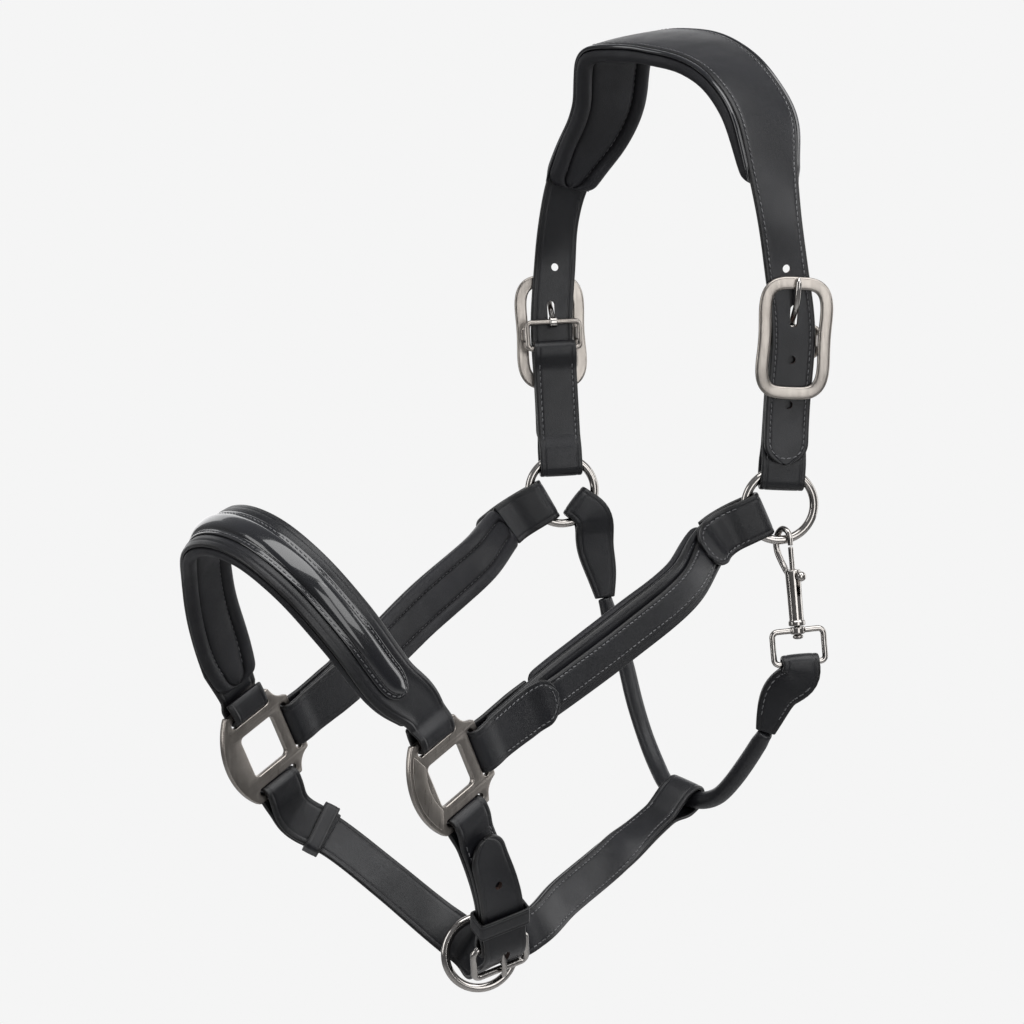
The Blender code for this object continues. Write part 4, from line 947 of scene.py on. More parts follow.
def crown():
    route = strap_band(headpiece_rows())
    whole = route.length

    profile = Leather(CROWN_THICK, rim=1.1, seam=CROWN_SEAM, dip=0.22, dome=0.12, grow=crown_swell)
    band = rounded(route, TIP_R, True, True)
    obj = sweep(Shape(), band, profile).object("crown_leather", BLACK)
    tongue_hole = BRACKET_TOP + TONGUE_HOLE_UP
    cutters = []
    for _, side in SIDES:
        at = ring_frame(side)
        cutters.append(hole(at.at(n=BILLET_N, v=tongue_hole - 0.8), at.n, at.v, 3.8))
        upper_h = NEAR_SPARE_H if side == NEAR else FAR_SPARE_H
        for k, h in ((1, upper_h), (-1, 0.0), (-2, 0.0)):
            cutters.append(hole(at.at(h, BILLET_N, tongue_hole + k * HOLE_STEP), at.n, at.v, 0.0))
    cut(obj, cutters, RAW)
    place(obj, "collar", "black_leather", "headpiece_strap")
    rows = border(band, CROWN_SEAM, 0.0, band.length, True, True)
    lining = route.part(LINED, whole - LINED)
    to_end = np.minimum(lining.run, lining.length - lining.run)
    taper = 0.35 + 0.65 * ease(LINING_TAPER - to_end, LINING_TAPER)
    lining = lining.off(-(CROWN_THICK / 2 + 0.25), lining.width + LINING_WIDER * taper)
    pad = rounded(lining, 7.0, True, True, 0.9)
    channels = lining_piece("crown_lining", pad, CROWN_DEEP, CROWN_ROLL, 12.0, 0.16, 0.75,
                            "headpiece_lining", "headpiece_foam")
    sewn("crown_stitches", "collar", (band, rows, on_face(profile, band)), channels)
    part = route.part(LINED, whole - LINED)
    thin = ease(9.0 - to_end, 9.0) * 0.7 + 0.3
    for edge_name, sign in (("front", -1), ("back", 1)):
        beside = sign * part.across * ((part.width + LINING_WIDER * taper) / 2 - 1.9 * taper)[:, None]
        places = part.place + beside - (1.0 - thin)[:, None] * part.normal
        bead = Band(places, part.normal, thin, part.along)
        obj = sweep(Shape(), bead, round_section(PIPING_R), end_round=0.3)
        obj = obj.object(f"crown_{edge_name}_piping", GLOSS)
        place(obj, "collar", "patent_leather", f"headpiece_{edge_name}_piping")


NOSE_WIDTH = 36.0
NOSE_THICK = 2.4
NOSE_SEAM = 3.3
NOSE_LINED = 15.0                    # from each end of the noseband to its lining,
NOSE_SEWN = 20.0                     # to its stitches
PATENT_FROM = 33.0                   # and to its patent strip
PATENT_WIDTH = 18.0
PATENT_THICK = 2.0


def noseband_rows():
    near = square_frame(NEAR)
    far = square_frame(FAR)
    return [row(near.at(v=BAR_AT), near.n, 25.0), row(near.at(v=BAR_AT + 14, n=1.0), near.n, 27.0),
            row((77, -284.5, -328), (1, -0.05, 0.05), NOSE_WIDTH - 4),
            row((72, -310.5, -296), (0.9, -0.25, 0.3), NOSE_WIDTH),
            row((57, -326, -271.5), (0.7, -0.42, 0.55), NOSE_WIDTH),
            row((32, -332, -255), (0.35, -0.55, 0.75), NOSE_WIDTH),
            row((0, -329, -249), (0, -0.6, 0.8), NOSE_WIDTH),
            row((-31, -319, -254), (-0.35, -0.55, 0.75), NOSE_WIDTH),
            row((-56, -301, -272), (-0.7, -0.42, 0.55), NOSE_WIDTH),
            row((-71.5, -284.5, -299), (-0.9, -0.25, 0.3), NOSE_WIDTH),
            row((-77, -268.5, -329), (-1, -0.05, 0.05), NOSE_WIDTH - 2),
            row(far.at(v=BAR_AT + 14, n=1.0), far.n, 27.0),
            row(far.at(v=BAR_AT), far.n, 25.0)]


def patent_section(width, draw_in=0.0, s=0.0):
    """The section of the patent strip: a thin sewn flange each side of a high round middle."""
    half = max(width / 2 - draw_in, 0.15)
    flange = 0.55
    base = -PATENT_THICK / 2
    lift = max(1.0 - draw_in, 0.2)
    inner = max(half - 3.4, 0.05)
    high = 2.7 * min(1.0, inner / 5.0) ** 0.8
    rim = ((0.0, 0.3), (0.15, 0.75), (0.5, 1.0), (1.1, 1.0), (1.6, 0.86), (2.1, 1.0), (2.7, 1.0))
    made = [(max(half - x, inner), base + flange + (1.0 - flange) * y * lift, float(i < 3), float(i == 4))
            for i, (x, y) in enumerate(rim)]
    for t in np.linspace(0.0, math.pi / 2, 10)[:-1]:
        made.append((inner * math.cos(t) ** 0.9, base + 1.0 + high * math.sin(t) ** 0.85 * lift, 0.0, 0.0))
    mirrored = [(-x, y, e, c) for x, y, e, c in made[::-1]]
    made.append((0.0, base + 1.0 + high * lift, 0.0, 0.0))
    return [(half - 0.1, base, 0.0, 0.0), *made, *mirrored, (-half + 0.1, base, 0.0, 0.0)]


def noseband():
    route = strap_band(noseband_rows())
    whole = route.length
    strap = Band(route.place, route.normal, np.minimum(route.width, NOSE_WIDTH - 3.0), route.along)
    fold = Fold(BAR_FOLD_R, hold=3.0, close=8.0, back=10.0, lay=0.0, back_lay=1.5 + 0.4 + STRAP / 2)
    band = folded(strap, fold, fold)
    profile = Leather(NOSE_THICK, rim=1.1, seam=NOSE_SEAM, dip=0.25, dome=0.3, swell=0.75, swell_at=11.6)
    strap_piece("noseband_leather", band, profile, "noseband_strap")
    outer = strap.part(NOSE_SEWN, whole - NOSE_SEWN)
    rows = border(outer, NOSE_SEAM, 0.0, outer.length)
    patent = route.part(PATENT_FROM, whole - PATENT_FROM)
    patent = patent.off(NOSE_THICK / 2 + 0.5 + PATENT_THICK / 2, PATENT_WIDTH)
    patent = rounded(patent, 15.0, True, True, 0.58)
    obj = sweep(Shape(), patent, patent_section, end_round=0.4).object("noseband_patent", GLOSS)
    place(obj, "collar", "patent_leather", "noseband_patent_strip")
    strip_rows = border(patent, 1.7, 0.0, patent.length, True, True)
    lining = route.part(NOSE_LINED, whole - NOSE_LINED)
    lining = rounded(lining.off(-(NOSE_THICK / 2 + 0.3)), 6.0, True, True, 0.8)
    channels = lining_piece("noseband_lining_pad", lining, 5.6, 8.4, 10.0, 0.12, 0.7,
                            "noseband_lining", "noseband_foam")
    sewn("noseband_stitches", "collar", (outer, rows, on_face(profile, outer)),
         (patent, strip_rows, flat(-0.02)), channels)


CHEEK_WIDTH = 31.5
NEAR_SAG = 5.0                       # how far the near cheekpiece hangs below a straight line
CHEEK_BASE = 3.0
STRIP_WIDTH = 17.0
STRIP_THICK = 2.0


def cheek_rows(side):
    top = ring_frame(side)
    low = square_frame(side)
    down_front = unit(-math.cos(math.radians(CHEEK_DIP)) * top.h - math.sin(math.radians(CHEEK_DIP)) * top.v)
    start = top.origin + RING_FOLD * down_front
    end = low.at(h=BAR_AT)
    outwards = np.array((side, 0.0, 0.0))
    sag = (NEAR_SAG if side == NEAR else 0.0) * ZUP
    middle = top.n * 0.5 + low.n * 0.5
    return [row(start, top.n, 25.0), row(start + 20 * down_front, top.n, 25.5),
            row(start * 0.72 + end * 0.28 + 0.6 * outwards - sag, middle, CHEEK_WIDTH - 2),
            row(start * 0.5 + end * 0.5 + 1.5 * outwards - 0.75 * sag, low.n, CHEEK_WIDTH),
            row(low.at(h=BAR_AT + 56, n=1.0) - 0.25 * sag, low.n, CHEEK_WIDTH - 2),
            row(low.at(h=BAR_AT + 20), low.n, 26.0), row(end, low.n, 25.0)]


def cheekpiece(label, side):
    route = strap_band(cheek_rows(side))
    whole = route.length
    base = route.part(18.0, whole - 12.0)
    base = base.off(0.0, base.width - 2.0)
    profile = Leather(CHEEK_BASE, rim=1.2, seam=3.0, dip=0.22, dome=0.1, swell=0.5, swell_at=11.3)
    strap_piece(label + "_cheek_leather", base, profile, label + "_cheek_base")
    jobs = [(base, border(base, 3.0, 26.0, base.length - 40.0), on_face(profile, base))]
    chape_out = CHEEK_BASE / 2 + 0.4 + STRAP / 2
    chape_profile = Leather(STRAP)
    for end_name, flip, long in (("ring", False, 46.0), ("square", True, 56.0)):
        piece = (route.backwards() if flip else route).part(0.0, long)
        piece = piece.off(0.0, np.minimum(piece.width, 27.0))
        square_fold = Fold(BAR_FOLD_R, hold=3.0, close=10.0, back=46.0, lay=chape_out)
        fold = square_fold if flip else ring_fold(28.0, chape_out)
        chape = rounded(folded(piece, fold), 12.0, False, True)
        climb = 1.5 * ease(chape.length - chape.run - 9.0, 9.0)
        chape = chape.off(climb)
        node = f"{label}_cheek_{end_name}_chape"
        strap_piece(node + "_leather", chape, chape_profile, node)
        rows = border(chape, SEAM, chape.length - long + 12.0, chape.length, at_end=True)
        jobs.append((chape, rows, on_face(chape_profile, chape)))
    strip = route.part(37.0, whole - 47.0)
    thin = 1.0 - 0.45 * ease(np.minimum(strip.run, strip.length - strip.run) - 8.0, 5.0)
    strip_out = CHEEK_BASE / 2 + 0.5 + STRIP_THICK / 2
    strip = strip.off(strip_out - (1.0 - thin) * 1.6, STRIP_WIDTH)
    strip_profile = Leather(STRIP_THICK, rim=0.9, seam=2.3, dip=0.2, dome=0.9)
    strap_piece(label + "_cheek_strip_leather", strip, strip_profile, label + "_cheek_strip")
    jobs.append((strip, border(strip, 2.3, 11.0, strip.length - 11.0), on_face(strip_profile, strip)))
    lining = route.part(29.0, whole - 47.0)
    lining = rounded(lining.off(-(CHEEK_BASE / 2 + 0.3)), 6.0, True, True, 0.8)
    jobs.append(lining_piece(label + "_cheek_lining_pad", lining, 5.4, 7.6, 10.0, 0.12, 0.7,
                             label + "_cheek_lining", label + "_cheek_foam"))
    sewn(label + "_cheek_stitches", "collar", *jobs)


def short_cheek_strap(label, side):
    at = ring_frame(side)
    route = strap_band([row(at.at(v=RING_FOLD), at.n), row(at.at(v=BRACKET_LOW), at.n)], 1.0)
    top = Fold(BRACKET_WIRE + 0.4 + STRAP / 2, hold=2.0, close=12.0, offset=BRACKET_N)
    band = folded(route, ring_fold(), top, True)
    profile = Leather(STRAP)
    strap_piece(label + "_short_strap", band, profile, label + "_short_cheek_strap", closed=True)
    turned_at = route.length + math.pi * top.radius
    front = border(band, SEAM, 12.0, route.length - 10.0)
    back = border(band, SEAM, turned_at + 10.0, turned_at + route.length - 14.0)
    out = on_face(profile, band)
    sewn(label + "_short_strap_stitches", "collar", (band, front, out), (band, back, out))


# ---- metal ----
def box_path(half_wide, half_tall, radius, corner_steps=10, side_steps=8):
    """A closed path round a rectangle with rounded corners, as (h, v) points."""
    path = []
    for number, (sx, sy) in enumerate(((1, 1), (-1, 1), (-1, -1), (1, -1))):
        for step in range(corner_steps + 1):
            angle = math.pi / 2 * (number + step / corner_steps)
            path.append((sx * (half_wide - radius) + radius * math.cos(angle),
                         sy * (half_tall - radius) + radius * math.sin(angle)))
    path = np.array(path)
    made = []
    for a, b in zip(path, np.roll(path, -1, axis=0)):
        steps = side_steps if np.linalg.norm(b - a) > 2.0 * radius * math.pi / 2 / corner_steps else 1
        made += [a + (b - a) * k / steps for k in range(steps)]
    return np.array(made)


def loop_band(places, normal, width):
    """The closed band through the places, with one normal and one width."""
    places = np.array(places)
    count = len(places)
    return Band(places, np.repeat(normal[None], count, 0), np.full(count, width), directions(places, True))


def add_wire(shape, at, path, radius, sides=20):
    band = loop_band([at.at(h=x, v=y) for x, y in path], at.n, 1.0)
    return sweep(shape, band, round_section(radius, sides), closed=True)


def ring(label, at, body, node):
    angles = around(120)
    path = np.stack((RING_R * np.cos(angles), RING_R * np.sin(angles)), axis=1)
    obj = add_wire(Shape(), at, path, RING_WIRE, 28).object(label, POLISHED)
    place(obj, body, "gunmetal", node)


def add_turned(shape, origin, axis, profile, sides=40):
    """A solid turned round axis from (radius, height) points; the first and last are on the axis."""
    axis = unit(axis)
    side_way = square_to(np.array((0.31, 0.9, 0.27)), axis)
    other = np.cross(axis, side_way)
    angles = around(sides)
    rims = [(max(r, 0.02), h) for r, h in profile]
    rays = [math.cos(t) * side_way + math.sin(t) * other for t in angles]
    points = [origin + h * axis + r * ray for r, h in rims for ray in rays]
    return shape.add(points, grid_quads(len(rims), sides, False), end_caps(len(rims), sides))


def add_rod(shape, places, radii, normal=ZUP, sides=20):
    places = np.asarray(places, float)
    normals = np.repeat(np.asarray(normal, float)[None], len(places), 0)
    band = Band(places, normals, radii, directions(places))
    return sweep(shape, band, round_section(1.0, sides), end_round=0.0)


def add_block(shape, at, h, n, v, rim=0.7, rows=10):
    """A block with rounded sides, from (low, high) pairs along h, n and v."""
    middle = at.at((h[0] + h[1]) / 2, 0, (v[0] + v[1]) / 2)
    places = np.array([middle + out * at.n for out in np.linspace(n[0], n[1], rows)])
    path = box_path((h[1] - h[0]) / 2, (v[1] - v[0]) / 2, rim, 4, 2)
    points = [p + x * at.h + y * at.v for p in places for x, y in path]
    size = len(path)
    return shape.add(points, grid_quads(rows, size, False), end_caps(rows, size))


def buckle_path():
    """The headpiece buckle's middle line: a tall rounded window with waisted sides."""
    half_wide = (FRAME_WIDE - FRAME_BAR) / 2
    half_tall = (FRAME_TALL - FRAME_BAR) / 2
    angles = around(720)
    c, s = np.cos(angles), np.sin(angles)
    x = half_wide * np.sign(c) * np.abs(c) ** 0.52
    y = half_tall * np.sign(s) * np.abs(s) ** 0.52
    x = x * (1.0 - 0.09 * np.cos(math.pi * y / (2 * half_tall)) ** 2)
    path = np.stack((x, y), axis=1)
    closed = np.vstack((path, path[:1]))
    run = run_of(closed)
    at = np.linspace(0.0, run[-1], FRAME_STATIONS, endpoint=False)
    return read_line(closed, run, at)


def headpiece_buckle(label, side):
    at = ring_frame(side)
    path = buckle_path()
    half_tall = FRAME_TALL / 2
    bow = FRAME_BOW * np.cos(math.pi * path[:, 1] / (2 * half_tall))
    places = [at.at(h=x, n=FRAME_OUT + out, v=BUCKLE_V + y) for (x, y), out in zip(path, bow)]
    band = loop_band(places, at.n, FRAME_BAR)
    shape = Shape()
    sweep(shape, band, Leather(FRAME_THICK, rim=1.0, dip=0.0, dome=0.3), closed=True)
    middle = (BRACKET_TOP + BRACKET_LOW) / 2
    half_high = (BRACKET_TOP - BRACKET_LOW) / 2
    add_wire(shape, at.moved(n=BRACKET_N, v=middle), box_path(BRACKET_HALF, half_high, 2.6), BRACKET_WIRE)
    for sign in (1, -1):
        across = sorted((sign * 14.6, sign * 17.4))
        add_block(shape, at, across, (BRACKET_N - 0.7, FRAME_OUT + 1.4), (middle - 2.6, middle + 4.4))
    obj = cast(shape, label + "_buckle", PLATED, voxel=0.42, smooth=5)
    place(obj, "collar", "gunmetal", label + "_headpiece_buckle")


def prong(name, at, axis_at, route, radius, barrel_half, bar_radius, body, node):
    inner = bar_radius + 0.3
    outer = inner + 1.5
    centre = at.at(*axis_at)
    sides = 36
    angles = around(sides)
    loops = []
    for h, r in ((-barrel_half, inner), (-barrel_half, outer - 0.35), (-barrel_half + 0.35, outer),
                 (barrel_half - 0.35, outer), (barrel_half, outer - 0.35), (barrel_half, inner)):
        loops += [centre + h * at.h + r * (math.cos(t) * at.n + math.sin(t) * at.v) for t in angles]
    shape = Shape()
    shape.add(loops, grid_quads(6, sides, True))
    line = smooth_curve([at.at(n=n, v=v) for n, v in route], 0.7)
    left = np.linalg.norm(line - line[-1], axis=1)
    radii = radius * np.sqrt(np.clip(left / 2.6, 0.12, 1.0))
    add_rod(shape, line, radii, at.h)
    obj = cast(shape, name, POLISHED, voxel=0.28)
    place(obj, body, "gunmetal", node)


def headpiece_tongue(label, side):
    at = ring_frame(side)
    top_bar = BUCKLE_V + FRAME_TALL / 2 - FRAME_BAR / 2
    over = FRAME_OUT + FRAME_THICK / 2 + 0.6 + 2.0
    route = [(BRACKET_N + 2.0, BRACKET_TOP + 2.2), (BILLET_N - 0.6, BRACKET_TOP + 6.4),
             (FRAME_OUT + 1.4, BRACKET_TOP + 12.5), (over, top_bar - 5.0), (over + 0.5, top_bar),
             (over - 0.2, top_bar + 3.4)]
    prong(label + "_tongue_look", at, (0.0, BRACKET_N, BRACKET_TOP), route, 1.65, 2.2, BRACKET_WIRE,
          label + "_tongue", label + "_headpiece_tongue")


def arc(centre, radius, first, last, steps):
    angles = np.radians(np.linspace(first, last, steps + 1))
    return [(centre[0] + radius * math.cos(t), centre[1] + radius * math.sin(t)) for t in angles]


def square_outline():
    bar = BAR_OUT
    half = SLOT_HALF + 2.6
    corner = bar + 1.2
    side = [(half - 2, bar), (half * 0.4, bar + 0.3), (0, bar + 0.4), (-half * 0.4, bar + 0.3),
            (-half + 2, bar)]
    outline = [(y, x) for x, y in side[::-1]]
    outline += arc((corner, corner), 11.2, 265, 185, 24)
    outline += side
    outline += arc((13.0, 0.0), 40.5, 135, 222, 60)
    outline += [(-half + 4, -bar), *((x, -y) for x, y in side[-2::-1])]
    outline += arc((corner, -corner), 11.2, 175, 95, 24)
    return eased_outline(outline)


def eased_outline(outline, step=0.8, reach=1.3):
    """A closed outline read at equal steps with its corners softened."""
    closed = np.array([*outline, outline[0]], float)
    run = run_of(closed)
    at = np.linspace(0.0, run[-1], int(run[-1] / step), endpoint=False)
    line = read_line(closed, run, at)
    half, weights = bell(step, reach)
    return [tuple(p) for p in blurred(np.vstack((line[-half:], line, line[:half])), weights)]


def slot_outline(centre, along_v):
    half_thin = (SLOT_OUT - SLOT_IN) / 2
    half_long = SLOT_HALF - half_thin
    ends = arc((half_long, 0), half_thin, -90, 90, 12) + arc((-half_long, 0), half_thin, 90, 270, 12)
    if along_v:
        ends = [(-y, x) for x, y in ends]
    return [(centre[0] + x, centre[1] + y) for x, y in ends]


def moved_outline(outline, distance):
    """The closed outline moved distance mm to its left."""
    line = np.array(outline)
    tangent = unit(np.roll(line, -1, axis=0) - np.roll(line, 1, axis=0))
    return line + distance * np.stack((-tangent[:, 1], tangent[:, 0]), axis=1)


def area_of(outline):
    line = np.array(outline)
    after = np.roll(line, -1, axis=0)
    return 0.5 * float(np.sum(line[:, 0] * after[:, 1] - after[:, 0] * line[:, 1]))


def plate_object(name, at, outlines, low, high, bevel, finish):
    """A plate with holes and rounded rims; the first outline is its edge, the others its holes."""
    curve = bpy.data.curves.new(name + "_outline", "CURVE")
    curve.dimensions = "2D"
    curve.fill_mode = "BOTH"
    curve.extrude = ((high - low) / 2 - bevel) * MM
    curve.bevel_depth = bevel * MM
    curve.bevel_resolution = 3
    for number, outline in enumerate(outlines):
        inwards = 1.0 if area_of(outline) > 0 else -1.0
        line = moved_outline(outline, (inwards if number == 0 else -inwards) * bevel)
        spline = curve.splines.new("POLY")
        spline.points.add(len(line) - 1)
        for point, (x, y) in zip(spline.points, line):
            point.co = (x * MM, y * MM, 0.0, 1.0)
        spline.use_cyclic_u = True
    drawn = bpy.data.objects.new(name + "_outline", curve)
    bpy.context.scene.collection.objects.link(drawn)
    bpy.context.view_layer.update()
    graph = bpy.context.evaluated_depsgraph_get()
    mesh = bpy.data.meshes.new_from_object(drawn.evaluated_get(graph))
    bpy.data.objects.remove(drawn)
    middle = at.at(n=(low + high) / 2)
    points = np.array([tuple(v.co) for v in mesh.vertices]) / MM
    points = middle + points @ np.array((at.h, at.v, at.n))
    faces = [list(p.vertices) for p in mesh.polygons]
    made = bpy.data.meshes.new(name)
    made.from_pydata([tuple(p * MM) for p in points], [], faces)
    made.materials.append(finish)
    obj = bpy.data.objects.new(name, made)
    bpy.context.scene.collection.objects.link(obj)
    weld = obj.modifiers.new("weld", "WELD")
    weld.merge_threshold = 0.00001
    settle(obj)
    clean(obj)
    return obj


def clean(obj):
    """Turns every face outwards."""
    work = bmesh.new()
    work.from_mesh(obj.data)
    bmesh.ops.recalc_face_normals(work, faces=work.faces)
    work.to_mesh(obj.data)
    work.free()
    obj.data.shade_smooth()
    obj.data.set_sharp_from_angle(angle=math.radians(35))


def halter_square(label, side):
    at = square_frame(side)
    middle = (SLOT_IN + SLOT_OUT) / 2
    outlines = [square_outline(), [tuple(p) for p in box_path(WINDOW_HALF, WINDOW_HALF, 2.8, 8, 6)],
                slot_outline((middle, 0.0), True), slot_outline((0.0, middle), False),
                slot_outline((0.0, -middle), False)]
    obj = plate_object(label + "_square_plate", at, outlines, -PLATE / 2, PLATE / 2, 0.7, PLATED)
    land = arc((13.0, 0.0), 38.6, 143, 216, 48) + arc((13.0, 0.0), 29.2, 207, 153, 36)
    land = eased_outline(land, 0.8, 1.0)
    raised = plate_object(label + "_land", at, [land], -0.6, PLATE / 2 + 0.5, 0.45, PLATED)
    change = obj.modifiers.new("land", "BOOLEAN")
    change.operation = "UNION"
    change.object = raised
    change.solver = "EXACT"
    bpy.context.view_layer.update()
    settle(obj)
    bpy.data.objects.remove(raised, do_unlink=True)
    clean(obj)
    place(obj, "collar", "gunmetal", label + "_square")


# ---- chin strap, its buckle and ring ----
CHIN_RING_YAW = -28.0
CHIN_THROUGH = np.array((8.0, -167.0, -487.0))
CHIN_IN_RING = (-5.9, 3.8)
CHIN_HINGE = (56.0, -190.5, -475.0)
CHIN_BUCKLE_HALF = 15.6
CHIN_BUCKLE_TALL = 19.0
CHIN_WIRE = 1.9
KEEPER_THICK = 1.8


def chin_ring_frame():
    yaw = math.radians(CHIN_RING_YAW)
    h = np.array((-math.sin(yaw), math.cos(yaw), 0.0))
    n = np.array((math.cos(yaw), math.sin(yaw), 0.0))
    return Frame(CHIN_THROUGH - CHIN_IN_RING[0] * h - CHIN_IN_RING[1] * ZUP, h, n, ZUP)


def chin_buckle_frame():
    v = unit((0.353, -0.382, 0.853))
    h = square_to(np.array((0.316, 0.907, 0.274)), v)
    return Frame(CHIN_HINGE, h, np.cross(h, v), v)


def near_chape_band():
    near = square_frame(NEAR)
    buckle = chin_buckle_frame()
    rows = [row(near.at(v=-BAR_AT), near.n), row(near.at(v=-BAR_AT - 20), near.n),
            row(buckle.at(v=24, n=0.6), buckle.n), row(buckle.at(v=10), buckle.n),
            row(buckle.origin, buckle.n)]
    return strap_band(rows, 3.0)


def chin_strap_band():
    far = square_frame(FAR)
    buckle = chin_buckle_frame()
    chape = near_chape_band()
    rows = [row(far.at(v=-BAR_AT), far.n), row(far.at(v=-BAR_AT - 18, n=-0.5), far.n),
            row((-60, -207, -430), (-0.9, 0.2, -0.4)), row((-36, -188, -453), (-0.78, 0.3, -0.5)),
            row((-13, -172, -475), (-0.55, 0.55, -0.6)), row(CHIN_THROUGH, (0.1, 0.79, -0.54)),
            row((27, -174, -493), (0.45, 0.4, -0.75))]
    rows += [row(buckle.at(n=n, v=v), buckle.n) for n, v in ((-5.6, -19), (6.8, -1.5))]
    ups = ((8.0, 6.5), (20.0, 4.7), (31.0, 4.7), (43.0, 4.7),
           (chape.length - 26.0, 5.0), (chape.length - 14.0, 6.9))
    for up, out in ups:
        at, normal = chape.frame_at(chape.length - up)[:2]
        rows.append(row(at + out * normal, normal))
    return strap_band(rows, 3.0)


def keeper(name, node, at, along, normal, half_wide, low, high, wide):
    """A leather loop round a strap: along is the strap's direction, low and high its faces."""
    n = square_to(normal, along)
    across = np.cross(along, n)
    path = box_path(half_wide, (high - low) / 2, 1.6, 8, 10)
    places = np.array([at + x * across + ((low + high) / 2 + y) * n for x, y in path])
    way = directions(places, True)
    band = Band(places, np.cross(way, along), np.full(len(path), wide), way)
    profile = Leather(KEEPER_THICK, rim=0.75, seam=1.9, dip=0.16, dome=0.25)
    strap_piece(name, band, profile, node, closed=True)


def chin_parts():
    """The chin strap, the near chape, their keepers and buckle, and the chin ring."""
    buckle = chin_buckle_frame()
    ring("chin_ring_look", chin_ring_frame(), "chin_ring_body", "chin_ring")
    route = chin_strap_band()
    fold = Fold(BAR_FOLD_R, hold=3.0, close=12.0, back=44.0, lay=0.0, back_lay=STRAP + 0.4)
    band = rounded(folded(route, fold), TIP_R, False, True)
    profile = Leather(STRAP)
    obj = sweep(Shape(), band, profile).object("chin_strap_leather", BLACK)
    cutters = [hole(buckle.at(n=3.1, v=-6.6), buckle.n, buckle.v, 3.2)]
    chape = near_chape_band()
    for up in (31.0, 56.0):
        s = band.length - up
        cutters.append(hole(*band.frame_at(s), 0.0))
    cut(obj, cutters, RAW)
    place(obj, "collar", "black_leather", "chin_strap")
    turned = band.length - route.length
    jobs = [(band, border(band, SEAM, turned + 10.0, turned + 52.0), on_face(profile, band))]
    at, normal, along = route.frame_at(37.0)
    half = STRAP_WIDTH / 2 + 0.8 + KEEPER_THICK / 2
    over = STRAP / 2 + 0.6 + KEEPER_THICK / 2
    keeper("far_keeper", "far_chin_keeper", at, along, normal, half, -over - STRAP - 0.4, over, 9.0)
    low = Fold(CHIN_WIRE + 0.4 + STRAP / 2, hold=2.0, close=10.0)
    chape_band = folded(chape, Fold(BAR_FOLD_R, hold=3.0, close=12.0), low, True)
    obj = sweep(Shape(), chape_band, profile, closed=True).object("near_chin_chape_leather", BLACK)
    slot = Shape()
    add_block(slot, buckle, (-2.9, 2.9), (-9.0, 7.0), (-9.0, 9.0), 2.4)
    cut(obj, [slot], RAW)
    place(obj, "collar", "black_leather", "near_chin_chape")
    rows = border(chape_band, SEAM, 13.0, chape.length - 12.0)
    jobs.append((chape_band, rows, on_face(profile, chape_band)))
    sewn("chin_stitches", "collar", *jobs)
    shape = add_wire(Shape(), buckle.moved(v=-CHIN_BUCKLE_TALL / 2),
                     box_path(CHIN_BUCKLE_HALF, CHIN_BUCKLE_TALL / 2, 3.4), CHIN_WIRE, 24)
    place(shape.object("chin_buckle", POLISHED), "collar", "gunmetal", "chin_buckle_frame")
    at, normal, along = chape.frame_at(chape.length - 19.0)
    keeper("near_keeper", "near_chin_keeper", at, along, normal, half, -LAY - over - 0.3, 5.0 + over, 11.0)
    prong("chin_tongue_look", buckle, (0.0, 0.0, 0.0),
          [(1.9, -2.2), (3.4, -7.0), (4.6, -13.0), (4.3, -CHIN_BUCKLE_TALL), (3.5, -CHIN_BUCKLE_TALL - 3.2)],
          1.5, 2.4, CHIN_WIRE, "chin_tongue", "chin_buckle_tongue")


# ---- throatlatch, jowl strap and snap hook ----
ROLL_R = 5.0
ROLL_SIDES = 36
LOOP_AT = np.array((2.0, 8.5, -422.5))
LOOP_WAY = unit((0.946, 0.15, -0.287))
JOWL_END_WAY = (0.0, 0.887, 0.463)
JOWL_WIDTH = 22.0
TAB_WIDTH = 22.0
TAB_LAY = 1.6                        # how far each of a tab's two layers lies off its middle
WHOLE_TAB = 200.0                    # longer than a tab, so its back layer runs to the end
HOOK_TURN = 30.0
HOOK_ANGLE = -80.0
WIRE_IN_HOOK = 5.5
HOOK_HEIGHT = 16.8
SNAP_TILT = 5.0
KNOB_TURN = 25.0
EYE_TOP = -34.0
EYE_LOW = -52.4
EYE_HALF = 14.6
EYE_WIRE = 1.7
BORE_R = 2.3


def hook_way(distance):
    angle = math.radians(HOOK_TURN)
    return -distance * math.sin(angle), -distance * math.cos(angle)


def snap_frame():
    ring_at = ring_frame(NEAR)
    angle = math.radians(HOOK_ANGLE)
    wire = ring_at.at(h=RING_R * math.cos(angle), v=RING_R * math.sin(angle))
    tilt = math.radians(SNAP_TILT)
    side_way = unit((0.695, 0.719, 0.0))
    v = math.cos(tilt) * ZUP - math.sin(tilt) * side_way
    h = square_to(ring_at.h, v)
    made = Frame(wire, h, np.cross(h, v), v)
    return made.moved(v=-HOOK_HEIGHT).moved(*hook_way(-WIRE_IN_HOOK))


def knob_frame(at):
    turn_by = math.radians(KNOB_TURN)
    turned_n = math.cos(turn_by) * at.n + math.sin(turn_by) * at.h
    return Frame(at.origin, np.cross(at.v, turned_n), turned_n, at.v)


